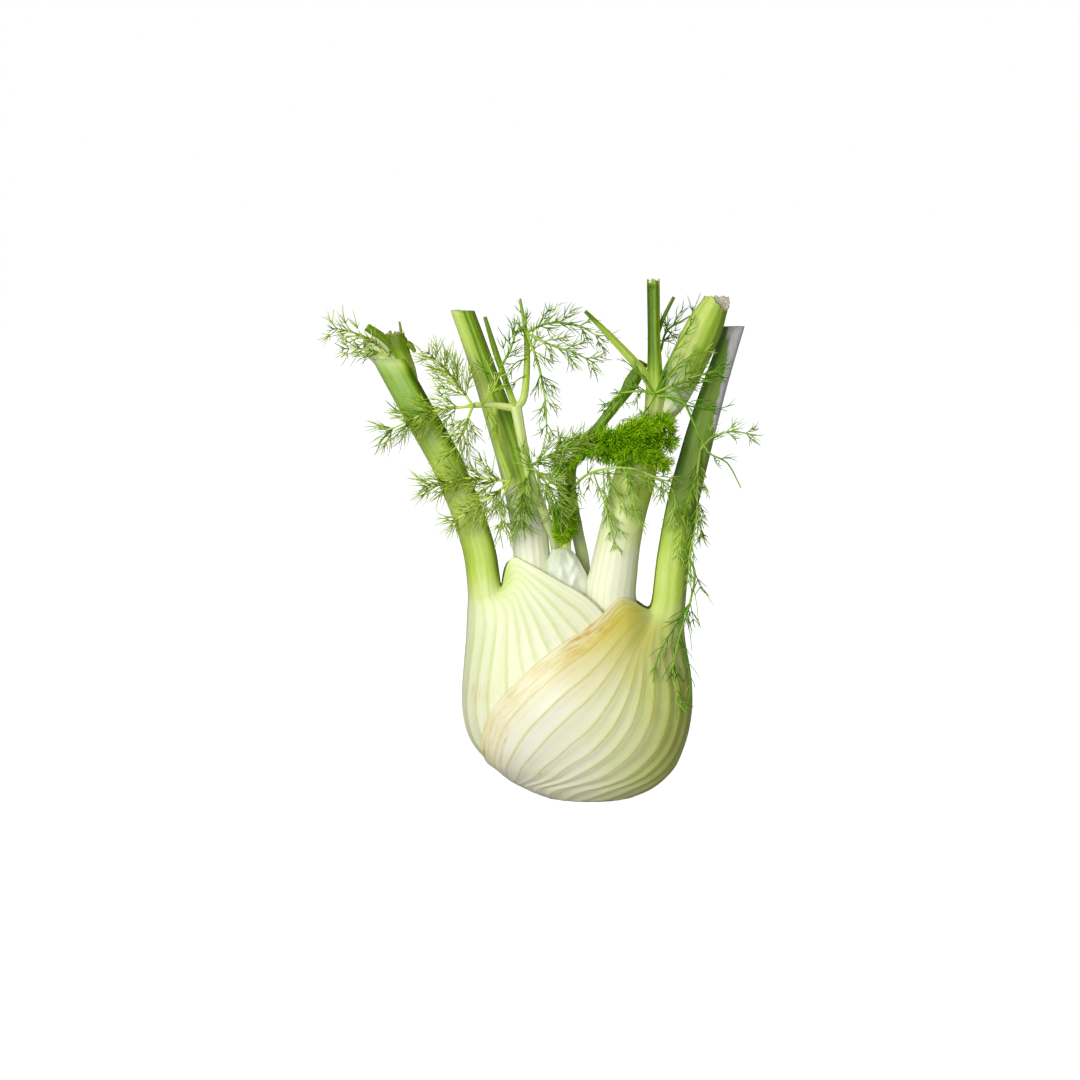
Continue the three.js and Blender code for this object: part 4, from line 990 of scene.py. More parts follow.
def middle_line(outer, inner, u_ring):
    """The middle of a leaf's section beside each point of its ring."""
    column = np.rint((u_ring + 1) / 2 * INNER_COLUMNS).astype(int)
    step = OUTER_COLUMNS // INNER_COLUMNS
    return ((outer[::step] + inner[::-1]) / 2)[column]


def swelling(u, v):
    """Slow swells of a sheath's face, none at its free edges and at its stalk."""
    swell = 0.25 * np.sin(3 * u + 3) * np.sin(5 * v + 2 * u)
    return swell * smoothstep(1 - v, 0, 0.2) * (1 - smoothstep(np.abs(u), 0.7, 0.95))


def sunk_skin(leaf, u, v):
    """How far each point of a leaf's outer face is sunk, and how far apart its ribs are."""
    flat = leaf_face(leaf, u, True)
    is_low = np.arange(len(flat)) < SHEATH_ROWS
    strength = np.where(is_low, leaf["relief"], STALK_RELIEF)[:, None]
    fading = 1 - FRONT_FADING * smoothstep(u, 0.45, 0.75)
    sunk, spacing = relief(flat, u, strength * fading)
    low = v[:, None]
    sunk[:SHEATH_ROWS] *= smoothstep(low, -0.02, 0.06) * below_join(u, low)
    sunk[:SHEATH_ROWS] += swelling(u, low)
    if leaf is LEFT_LEAF:
        sunk[:SHEATH_ROWS] += cover_by_right_leaf(flat[:SHEATH_ROWS]) * smoothstep(1 - low, 0, 0.15)
    return sunk + SKIN_SINK, spacing


def outer_leaf(name, leaf, paint, materials):
    """A whole outer leaf with its ribs, its rounded free edges and its cut top."""
    u = np.linspace(-1, 1, OUTER_COLUMNS + 1)
    v = np.linspace(0, 1, SHEATH_ROWS)
    sunk, spacing = sunk_skin(leaf, u, v)
    outer = leaf_face(leaf, u, True, sunk[:SHEATH_ROWS], sunk[SHEATH_ROWS:])
    inner_u = np.linspace(1, -1, INNER_COLUMNS + 1)
    inner = leaf_face(leaf, inner_u, False)
    for face in (outer, inner):
        face[..., 2] = np.maximum(face[..., 2], FLOOR_GAP)
    rings = ring_of(outer, inner)
    rings[..., 2] = np.maximum(rings[..., 2], FLOOR_GAP)
    u_ring = edge_ring(u, inner_u)
    middles = [middle_line(outer[row], inner[row], u_ring) for row in (0, -1)]
    length = np.linalg.norm(np.diff(rings, axis=0, prepend=rings[:1]), axis=-1).cumsum(0)
    is_inner = edge_ring(np.zeros(len(u)), np.ones(len(inner_u)))
    stage = np.concatenate([v, np.linspace(1, 2, STALK_ROWS)[1:]])[:, None]
    attributes = {
        "rib": rib_place(u_ring), "along": length,
        "spacing": edge_ring(spacing, np.full(inner.shape[:2], INNER_SPACING)),
        **paint(u_ring, stage, is_inner, rings),
    }
    closed_skin(name, rings, middles, attributes, materials, "outer_leaf", [name], hollow=0.5)


# Where the skin is peeled off the right stalk: height, and how far round towards the front.
PEELED = [(146, 0), (151, 0.1), (157, 0.42), (176, 0.52), (190, 0.62), (198, 0.84)]


def peak(x, centre, width):
    """1 at a centre, and dying away to both sides of it."""
    return np.exp(-((x - centre) / width) ** 2)


def right_green(x, height, share, on_stalk):
    """How green the right leaf is: from its white left half to its green side and stalk. The green
    of its right side is partly its own and partly painted shade, and the darker green in its stalk's
    channel is painted shade.
    """
    up = smoothstep(height, 92, 130) + 0.5 * smoothstep(height, 138, 152)
    # Painted shade: the stalk's channel is made a darker green.
    channel = smoothstep(share, 0.74, 0.86) * smoothstep(height, 122, 145)
    flank = (1 - smoothstep(share, 0.36, 0.62)) * (1 - smoothstep(height, 125, 150))
    # Partly painted shade: the right side of the sheath is made greener and darker.
    side = smoothstep(x, 0, 42) * (1 - on_stalk) * (1 - 0.3 * smoothstep(height, 45, 75))
    green = 0.05 + 0.1 * smoothstep(x, -32, 8) + 0.35 * side + 0.35 * on_stalk + 0.08 * up
    return green + 0.25 * channel + 0.26 * flank * smoothstep(height, 78, 116)


def right_stain(u, stage, edge):
    """The tan stains of the right leaf's front edge: all along it, in two patches, in a streak."""
    streak = peak(u, 0.88 - 0.02 * np.sin(9 * stage), 0.006)
    streak = streak * smoothstep(stage, 0.1, 0.16) * smoothstep(-stage, -0.42, -0.34)
    patch = peak(stage, 0.7, 0.06) * smoothstep(u, 0.86, 0.94)
    patch = patch + 1.5 * peak(stage, 0.28, 0.02) * smoothstep(u, 0.96, 0.99)
    return 0.12 * edge + 0.6 * patch + 1.2 * streak


def peeled_off(share, height):
    """Where the skin is off the right stalk, inside the uneven border that PEELED gives."""
    ripple = 0.02 * np.sin(height * 1.1) - 0.01 * np.sin(3.7 * height)
    border = np.interp(height, *zip(*PEELED)) + ripple
    return smoothstep(border - share, 0, 0.03) * smoothstep(border + share, 0.1, 0.14)


def right_paint(u, stage, is_inner, place):
    """How green and lined the right leaf is at each point, where it has stains, and where it has
    painted shade.
    """
    x, _, height = np.moveaxis(place, -1, 0)
    share = arc_share(u)
    is_outer = 1 - is_inner
    on_stalk = smoothstep(stage, 0.84, 1.08)
    # Painted shade at the sheath's lower right: a little less green, and tan in the stain colour.
    painted_shade_low_right = smoothstep(x, 6, 44) * (1 - smoothstep(height, 26, 80))
    edge = smoothstep(u, 0.84, 0.99) * smoothstep(stage, 0.1, 0.3) * (1 - on_stalk)
    top = smoothstep(height, 40, 84) * smoothstep(u, 0.0, 0.6) * (1 - smoothstep(u, 0.9, 1))
    top = top * (1 - on_stalk) * (1 - smoothstep(stage, 0.88, 0.98))
    lines = (0.35 + 0.5 * (1 - on_stalk)) * (1 - 0.5 * smoothstep(u, 0.86, 0.94))
    return {
        "green": right_green(x, height, np.abs(share), on_stalk) + 0.2 * is_inner - 0.05 * painted_shade_low_right,
        "stain_and_shade": right_stain(u, stage, edge) + 0.5 * painted_shade_low_right * is_outer,
        "lines": lines * is_outer * below_join(u, stage),
        "peel": peeled_off(share, height) * is_outer,
        "yellow": top + 0.25 * edge, "cool": 0.4 * smoothstep(height, 108, 140),
        "margin": 0.5 * edge,
    }


def left_paint(u, stage, is_inner, place):
    """How green and lined the left leaf is at each point, and where it has stains. Its stalk has
    painted shade on one side above the bulb and painted light higher up.
    """
    x, y, height = np.moveaxis(place, -1, 0)
    on_stalk = smoothstep(height, 76, 100) * smoothstep(stage, 0.7, 1.0)
    up = smoothstep(height, 110, 170) * (0.3 + 0.7 * smoothstep(np.abs(u + 0.1), 0.4, 0.8))
    side = smoothstep(-x, 40, 56) * smoothstep(height, 30, 80)
    # Painted shade: a darker green on one side of the stalk just above the bulb.
    dark = smoothstep(u, 0.5, 0.9) * smoothstep(height, 84, 100) * smoothstep(stage, 0.98, 1.05)
    side = side + 0.5 * smoothstep(height, 55, 88) * smoothstep(-x, 28, 42)
    # Painted light: the stalk is made paler between these heights, where the fronds shade it.
    light = smoothstep(height, 100, 118) * (1 - smoothstep(height, 136, 158))
    green = 0.1 + 0.1 * side + 0.35 * on_stalk + 0.18 * up + 0.3 * dark + is_inner * 0.2
    green = green - 0.12 * light
    spot = np.exp(-((x + 46.6) ** 2 + (height - 47.7) ** 2) / 12) * (y < 0)
    lines = (0.3 + 0.5 * (1 - on_stalk)) * (1 - is_inner) * (0.4 + 0.6 * below_join(u, stage))
    cool = smoothstep(height, 125, 175) * smoothstep(u, -1, 0.1) * (1 - smoothstep(u, 0.25, 0.6))
    bloom = 0.35 * smoothstep(height, 178, 185) * on_stalk
    return {"green": green - bloom, "stain_and_shade": 0.8 * spot, "lines": lines, "cool": 0.42 * cool}


# Skin colours by how green the skin is: a pale end for each leaf, and greens that most share.
GREENS = [
    (0.36, "#DAE694"), (0.5, "#C1D85E"), (0.64, "#A3C242"), (0.8, "#7CA014"), (1.0, "#4A6E00"),
]
RIGHT_PALES = [(0.0, "#F8F5E8"), (0.14, "#F0F0CE"), (0.26, "#E3E8AE")]
LEFT_PALES = [(0.0, "#F2F0D8"), (0.14, "#EFF4CC"), (0.26, "#E8F3B6")]
INNER_PALES = [(0.0, "#FBFAE8"), (0.14, "#F6F8D8"), (0.26, "#E8F0B8")]
YOUNG_PALES = [(0.0, "#F3F6DE"), (0.25, "#E0EBB4")]
HOOD_TONES = [(0.0, "#F4F5EA"), (0.3, "#E4EAD6"), (0.6, "#C6D4AE"), (1.0, "#8DAE58")]


def make_outer_leaves(pith):
    """The two outer leaves, which clasp the bulb."""
    # The right skin's tan is the colour of its stains and of the painted shade at its lower right.
    right = leaf_skin(
        "right leaf skin", [*RIGHT_PALES, *GREENS], "#DCD48C", "#F0B064", 0.36, vein_width=1.1)
    left = leaf_skin(
        "left leaf skin", [*LEFT_PALES, *GREENS], "#D5E4A8", "#EDBB86", 0.34, vein_width=1.7)
    outer_leaf("right_outer_leaf", RIGHT_LEAF, right_paint, [right, pith])
    outer_leaf("left_outer_leaf", LEFT_LEAF, left_paint, [left, pith])


# ---- inner leaves and stems --------------------------------------------------------------------

TUCK_GAP = 1.6              # a stem is kept this far inside the bulb's face
TUCK_WALL = 6.5             # and this much more at heights where the walls are thick
WALL_FADE = (62, 92)
TUCK_FADE = (76, 92)        # a stem comes free of the bulb between these heights
SEAM = math.radians(25)     # a stem's ribs are mirrored about this angle, counted from its right
GROOVE_FADE = (86, 140)     # heights between which a stem's grooves deepen
DARK_RISE = 20              # height over which the painted shade on one side of a stem sets in


def stem_point(stations, turn, t, grow=0):
    """A stem's skin at an angle from its right side towards its front, grown by a distance."""
    centre, across, deep, side, front = stem_at(stations, t)
    out = (across[..., 0] + grow) * np.cos(turn)
    forward = (deep[..., 0] + grow) * np.sin(turn)
    return centre + side * out[..., None] + front * forward[..., None]


def tucked(points):
    """Points pressed inwards where they would come through the bulb's walls."""
    x, y, z = np.moveaxis(points, -1, 0)
    inset = TUCK_GAP + TUCK_WALL * (1 - smoothstep(z, *WALL_FADE))
    _, left, right, depth, _ = np.moveaxis(table_at(BULB, z), -1, 0)
    middle = (left + right) / 2
    across = np.abs(x - middle) / np.maximum((right - left) / 2 - inset, 1)
    deep = np.abs(y) / np.maximum(depth - inset, 1)
    size = (across ** ROUNDNESS + deep ** ROUNDNESS) ** (1 / ROUNDNESS)
    free = smoothstep(z, *TUCK_FADE)
    scale = free + (1 - free) / np.maximum(size, 1)
    return np.stack([middle + (x - middle) * scale, y * scale, z], -1)


def turned_from(turn, angle):
    """How far an angle is turned from another, the shorter way round."""
    return (turn - angle + np.pi) % (2 * np.pi) - np.pi


def stem_rib(turn, ribs):
    """Which of its ribs a stem's skin is on at an angle."""
    return ribs * np.abs(turned_from(turn, SEAM)) / (2 * np.pi)


def stem_look(turn, along, place, look, spacing):
    """What a stem's skin is given to colour it by, with painted shade on one side and painted
    highlight on its rib crests.
    """
    height = place[..., 2]
    rib = stem_rib(turn, look["ribs"])
    side, amount, low = look.get("dark", (0, 0, 0))
    facing = smoothstep(np.cos(turn - math.radians(side)), -0.1, 0.8)
    green = np.interp(height, *zip(*look["greens"]))
    # Painted shade: the side that the look's dark entry names is made greener from a height up.
    green = green + amount * facing * smoothstep(height, low, low + DARK_RISE)
    return {
        "rib": rib, "along": along, "spacing": spacing, "lines": look["lines"],
        # Painted highlight: the crests of a stem's ribs are made paler.
        "green": green - look.get("crest_highlight", 0) * rib_height(rib),
        "stain_and_shade": np.interp(height, *zip(*look.get("stains", [(0, 0)]))),
    }


def stem_growth(stations, turn, t, look):
    """How much a stem's skin is grown: less between its ribs, and less in its grooves."""
    ribs = rib_height(stem_rib(turn, look["ribs"]))
    grow = look.get("swell", 0) - look["depth"] * (1 - ribs)
    fading = smoothstep(through(stations, t)[..., 2], *GROOVE_FADE)
    for angle, deep, wide in look.get("grooves", []):
        groove = peak(turned_from(turn, math.radians(angle)), 0, math.radians(wide))
        grow = grow - deep * groove * fading
    return grow


def stem_piece(name, node, slot, stations, materials, look):
    """A stem with ribs, cut level, cut at a slant, torn, or drawn out to a tip."""
    sides, rows = look.get("grid", (72, 150))
    turn = np.arange(sides) * 2 * np.pi / sides
    top = np.ones(sides)
    for cut in look.get("cuts", []):
        top = np.minimum(top, reach_of_cut(lambda t: stem_point(stations, turn, t), sides, cut))
    t = np.linspace(0, 1, rows)[:, None] * top
    turns = np.broadcast_to(turn, t.shape)
    place = stem_point(stations, turns, t, stem_growth(stations, turn, t, look))
    if "crumple" in look:
        place[..., 1] += look["crumple"] * rough(place * [1, 1, 0.5], 0.55, 2)
    if look.get("is_tucked"):
        place = tucked(place)
    along = np.linalg.norm(np.diff(place, axis=0, prepend=place[:1]), axis=-1).cumsum(0)
    spacing = 2 * np.pi * np.array(stations)[:, 3].mean() / look["ribs"]
    middles = [np.broadcast_to(place[row].mean(0), place[row].shape) for row in (0, -1)]
    marks = stem_look(turn, along, place, look, spacing)
    hollow, ragged = look.get("hollow", 0.3), look.get("ragged", 0)
    closed_skin(name, place, middles, marks, materials, slot, [node], hollow, ragged)


def make_inner_leaves(pith, torn):
    """The two stalks inside the outer leaves, and the four stems that the right one carries."""
    skin = leaf_skin("inner stalk skin", [*INNER_PALES, *GREENS], "#CDDB96", "#E2C47A")
    node, slot = "inner_right_leaf", "inner_leaf"
    # A look's dark side is painted shade: one side of the stem is made greener from a height up.
    stem_piece("inner_right_leaf", node, slot, INNER_RIGHT, [skin, pith], {
        "ribs": 22, "depth": 0.1, "lines": 0.3, "is_tucked": True, "dark": (10, 0.1, 95),
        "greens": [(80, 0.1), (105, 0.14), (118, 0.27), (128, 0.38), (140, 0.45), (158, 0.46)],
    })
    # Where a look makes its rib crests paler, this is painted highlight.
    stem_piece("thick_branch", node, slot, [*THICK_BRANCH, BEYOND_THICK_BRANCH], [skin, torn], {
        "ribs": 14, "depth": 0.16, "lines": 0.4, "dark": (20, 0.22, 165), "hollow": 1.2,
        "ragged": 0.6, "crest_highlight": 0.1, "cuts": [level(THICK_BRANCH_TOP), THICK_BRANCH_SLANT],
        "greens": [(153, 0.46), (163, 0.38), (172, 0.12), (178, 0.36), (190, 0.52), (211, 0.54)],
    })
    stem_piece("upright_branch", node, slot, UPRIGHT_BRANCH, [skin, torn], {
        "ribs": 7, "depth": 0.22, "lines": 0.5, "ragged": 1.0, "grid": (84, 120), "crest_highlight": 0.12,
        "greens": [(155, 0.4), (168, 0.48), (178, 0.66), (190, 0.88), (216, 0.9), (218, 0.6)],
        "stains": [(216, 0), (217.6, 1)], "dark": (170, 0.2, 170),
    })
    stem_piece("leaning_branch", node, slot, LEANING_BRANCH, [skin, torn], {
        "ribs": 6, "depth": 0.2, "lines": 0.5, "grid": (36, 60), "crest_highlight": 0.15,
        "greens": [(172, 0.5), (200, 0.75), (203, 1.0)],
    })
    stem_piece("side_stem", node, slot, SIDE_STEM, [skin, torn], {
        "ribs": 4, "depth": 0.08, "lines": 0.5, "grid": (24, 30), "greens": [(190, 0.95)],
    })
    stem_piece("inner_left_leaf", "inner_left_leaf", slot, INNER_LEFT, [skin, pith], {
        "ribs": 18, "depth": 0.16, "lines": 0.4, "is_tucked": True, "crest_highlight": 0.06,
        "cuts": [level(INNER_LEFT_TOP)], "dark": (30, 0.36, 118),
        "greens": [(80, 0.09), (112, 0.1), (126, 0.18), (140, 0.38), (165, 0.44), (205, 0.46)],
        "grooves": [(75, 0.9, 7), (250, 1.6, 26)],
    })


def make_young_stems(pith, torn):
    """The thin young stems in the middle, the hood that one grows out of, and the torn shoot."""
    skin = leaf_skin("young stem skin", [*YOUNG_PALES, *GREENS], "#C3D588", "#B98E3E")
    veil = leaf_skin("hood skin", HOOD_TONES, "#DCE4C8", "#D9C98A", 0.34)
    slot = "stem"
    stem_piece("hood", "hooded_sheath", "inner_leaf", HOOD, [veil, torn], {
        "ribs": 9, "depth": 0.04, "lines": 0.0, "is_tucked": True, "ragged": 0.8, "crumple": 0.9,
        "greens": [(80, 0.4), (90, 0.3), (98, 0.2), (106, 0.5)], "grooves": [(84, 0.9, 9)],
    })
    stem_piece("hood_stem", "hooded_sheath", slot, HOOD_STEM, [skin, torn], {
        "ribs": 6, "depth": 0.15, "lines": 0.4, "grid": (40, 60),
        "greens": [(100, 0.3), (115, 0.45), (124, 0.6), (133, 0.85)],
    })
    # The slender stalk's paler rib crests are painted highlight.
    stem_piece("slender_stalk", "slender_inner_stalk", slot, SLENDER, [skin, torn], {
        "ribs": 6, "depth": 0.2, "lines": 0.5, "is_tucked": True, "grid": (48, 200),
        "greens": [(80, 0.2), (100, 0.36), (122, 0.3), (136, 0.6), (148, 0.9), (184, 0.98)],
        "crest_highlight": 0.12,
    })
    stem_piece("forked_stem", "forked_leaf_stem", slot, FORKED, [skin, pith], {
        "ribs": 6, "depth": 0.15, "lines": 0.4, "grid": (40, 160),
        "greens": [(95, 0.25), (120, 0.34), (150, 0.38), (167, 0.36)],
    })
    for i, (stations, green) in enumerate(zip(FORKS, (0.42, 0.6, 0.42, 0.6))):
        stem_piece(f"fork_{i + 1}", "forked_leaf_stem", slot, stations, [skin, torn], {
            "ribs": 5, "depth": 0.1, "lines": 0.4, "grid": (30, 90),
            "greens": [(130, green), (170, green), (190, green + 0.3)],
        })
    make_torn_shoot(skin, torn)


def make_torn_shoot(skin, torn):
    """The torn young leaf in the left stalk: a base with a hook, a stem, a tip and a sheath."""
    base = {
        "ribs": 8, "depth": 0.25, "lines": 0.5, "grid": (56, 70),
        "greens": [(175, 0.6), (186, 0.7), (192, 0.86), (196, 0.8)],
        "stains": [(183, 0.1), (190, 0.5), (196, 1)],
    }
    shoot_pieces = {
        "torn_shoot": (SHOOT, {"ragged": 1.6, "swell": 0.5}),
        "shoot_hook": (SHOOT_HOOK, {
            "ragged": 0.4, "grid": (30, 40), "stains": [(188, 1), (192, 0.2)]}),
        "shoot_stem": (SHOOT_STEM, {
            "ragged": 0.4, "grid": (36, 50), "greens": [(189, 0.85)], "stains": [(189, 0.1)]}),
        "shoot_tip": (SHOOT_TIP, {"depth": 0.05, "grid": (18, 30)}),
        "shoot_sheath": (SHOOT_SHEATH, {
            "depth": 0.1, "ragged": 1.2, "hollow": 1.5,
            "greens": [(183, 0.3), (190, 0.12), (195, 0.2)], "stains": [(192, 0), (195, 0.3)]}),
    }
    for name, (stations, look) in shoot_pieces.items():
        stem_piece(name, "torn_shoot", "stem", stations, [skin, torn], {**base, **look})


def make_root_plate():
    """The cut root face that the bulb stands on, with a corky rim."""
    material = corky_root()
    stem_piece("root_plate", "root_plate", "root", ROOT_PLATE, [material, material], {
        "ribs": 20, "depth": 0.35, "lines": 0, "grid": (96, 30), "greens": [(0, 0)], "hollow": 0,
    })


PITH = cut_pith()
TORN = torn_pith()
make_outer_leaves(PITH)
make_inner_leaves(PITH, TORN)
make_young_stems(PITH, TORN)
make_root_plate()

# ---- fronds ------------------------------------------------------------------------------------

AXIS_MATCH = 0.97           # an axis ends square to its last ring, a needle leaves at a slant
END_MATCH = 0.6             # a tip this near a midrib's end is the midrib's own
MIDRIB = {"radii": (0.62, 0.28), "tones": (0.6, 0.9), "sides": 6}
LOOSE_RIB = {"radii": (0.4, 0.2), "tones": (0.3, 0.7), "sides": 5}
SPRIG_HALF = 0.3            # radius of a sprig's axis at its foot
FILL_HALF = 0.24            # and of a further sprig's
THREAD_HALF = 0.25          # and of a thread
THREAD_TIP = 0.14
LENGTH_RANGE = (0.75, 1.1)  # how uneven the further sprigs are in length, at random
COMB_RANGE = (0.7, 1.1)     # and the threads along a sprig
ANGLE_RANGE = (0.8, 1.15)   # how uneven the angles are at which they leave
SWING = 0.12                # how far they swing out of their two rows
SPRIG_TAPER = 0.45          # how much shorter the last sprigs of a midrib are
COMB_TAPER = 0.55           # and the last threads of a sprig
FILL_COMB = 0.9             # length of the threads on further sprigs, against those on the solid's
NEEDLE_GAPS = 2             # spacing of the threads on needles, against those on sprigs
LOOSE_REACH = 5             # length of the sprigs on a looser thread
LOOSE_COMB = (1.3, 0.6)     # spacing and length of its threads, against those of the frond
RIB_STEP = 0.9              # between the points of a midrib's line
FEWEST_POINTS = 4           # on the shortest midrib
FINE_STEPS = 24             # points of each stretch of a route, before they are spaced evenly
FROND_FACE = (0.25, 1.0, 0.1)   # the sprays of a frond spread out square to this
FROND_OVERREACH = np.array([4.2, 1.2, 4])   # how far threads may pass the solid part's box
TIP_STRAY = 0.4             # how far a needle's tip is moved, at random
ROOT_REACH = 2.6            # how far a midrib's root runs into the stem that carries it
CENTRES_PER_STEM = 80
FIRST_SEED = 40             # each frond has random numbers of its own


def rib_line(route):
    """Evenly spaced points on the smooth curve that a midrib takes."""
    p = np.array(route, float)
    p = np.concatenate([[2 * p[0] - p[1]], p, [2 * p[-1] - p[-2]]])
    gaps = np.linalg.norm(np.diff(p, axis=0), axis=1) ** 0.5
    points = []
    f = np.linspace(0, 1, FINE_STEPS, endpoint=False)[:, None]
    for i in range(1, len(p) - 2):
        before, here, after = gaps[i - 1:i + 2]
        a, b, c, d = p[i - 1:i + 3]
        start = ((b - a) / before - (c - a) / (before + here) + (c - b) / here) * here
        end = ((c - b) / here - (d - b) / (here + after) + (d - c) / after) * here
        curve = b + f * start + f ** 2 * (3 * (c - b) - 2 * start - end)
        points.append(curve + f ** 3 * (2 * (b - c) + start + end))
    points = np.concatenate([*points, p[-2:-1]])
    length = np.linalg.norm(np.diff(points, axis=0, prepend=points[:1]), axis=1).cumsum()
    count = max(FEWEST_POINTS, int(length[-1] / RIB_STEP))
    even = np.linspace(0, length[-1], count)
    return np.stack([np.interp(even, length, points[:, k]) for k in range(3)], 1)


def frond_spikes(node):
    """Where a frond's solid has its tips: each tip, its foot, and whether it ends an axis."""
    mesh = node.data
    points = np.array([node.matrix_world @ vertex.co for vertex in mesh.vertices]) / MM
    mesh.calc_loop_triangles()
    corners = np.array([triangle.vertices[:] for triangle in mesh.loop_triangles])
    _, index, place = np.unique(np.round(points, 2), axis=0, return_index=True, return_inverse=True)
    corners = place.reshape(-1)[corners]
    points = points[index]
    around = [[] for _ in points]
    for triangle in corners.tolist():
        for corner in triangle:
            around[corner].append(triangle)
    tips, feet, is_axis = [], [], []
    for i, triangles in enumerate(around):
        if len(triangles) != 3:
            continue
        a, b, c = (points[k] for k in set(sum(triangles, [])) - {i})
        foot = (a + b + c) / 3
        square = unit(np.cross(b - a, c - a)) @ unit(points[i] - foot)
        tips.append(points[i])
        feet.append(foot)
        is_axis.append(abs(square) > AXIS_MATCH)
    return np.array(tips), np.array(feet), np.array(is_axis)


def bent(start, end, bow, count):
    """Points from start to end for many threads at once, each bowed to a side."""
    s = np.linspace(0, 1, count)[:, None]
    straight = start[:, None] + (end - start)[:, None] * s
    return straight + bow[:, None] * (4 * s * (1 - s))


def kept_in(tips):
    """Tips held back where they would reach too far past the solid part."""
    low, high = (np.array(corner) / MM for corner in SOLID_BOX)
    return np.clip(tips, low - FROND_OVERREACH, high + FROND_OVERREACH)


class Threads:
    """Gathers thin tapering tubes into one mesh."""

    def __init__(self):
        self.points, self.faces, self.tone, self.reach = [], [], [], []
        self.total = 0

    def add(self, lines, radii, tone, sides=3):
        """Tubes along lines of points, the last of which is a tip."""
        count, rows = lines.shape[:2]
        ahead = unit(np.gradient(lines, axis=1))
        hint = np.eye(3)[np.abs(ahead.mean(1)).argmin(-1)][:, None]
        side = unit(np.cross(ahead, hint))
        up = np.cross(side, ahead)
        turn = (np.arange(sides) * 2 * np.pi / sides)[:, None]
        ring = side[:, :, None] * np.cos(turn) + up[:, :, None] * np.sin(turn)
        rings = lines[:, :-1, None] + ring[:, :-1] * radii[..., :-1, None, None]
        points = np.concatenate([rings.reshape(count, -1, 3), lines[:, -1:]], 1)
        first = self.total + np.arange(count)[:, None, None] * points.shape[1]
        self.faces.append((self.tube_faces(rows - 1, sides) + first).reshape(-1, 3))
        self.points.append(points.reshape(-1, 3))
        reach = np.append(np.repeat(np.linspace(0, 1, rows)[:-1], sides), 1)
        self.reach.append(np.tile(reach, count))
        self.tone.append(np.repeat(tone, points.shape[1]))
        self.total += count * points.shape[1]

    @staticmethod
    def tube_faces(rows, sides):
        """The faces of one tube: its closed foot, its rings, and the cone to its tip."""
        around = np.arange(sides)
        after = (around + 1) % sides
        faces = [np.stack([np.zeros(sides - 2, int), around[2:], around[1:-1]], 1)]
        for row in range(rows - 1):
            a, b = row * sides + around, row * sides + after
            faces += [np.stack([a, b, b + sides], 1), np.stack([a, b + sides, a + sides], 1)]
        last = (rows - 1) * sides
        tip = np.full(sides, rows * sides)
        faces.append(np.stack([last + around, last + after, tip], 1))
        return np.concatenate(faces)

    def mesh(self, name, materials):
        """All the tubes as one piece."""
        points, faces = np.concatenate(self.points), np.concatenate(self.faces)
        attributes = {"tone": np.concatenate(self.tone), "reach": np.concatenate(self.reach)}
        slots = np.zeros(len(faces), int)
        return add_mesh(name, points, faces, attributes, materials, slots)


def tapering(first, last, count, rows):
    """The radii of many threads along their rows."""
    return np.broadcast_to(np.linspace(first, last, rows), (count, rows))


def nearest(places, point):
    """The one of many places that is nearest to a point."""
    return places[np.linalg.norm(places - point, axis=1).argmin()]


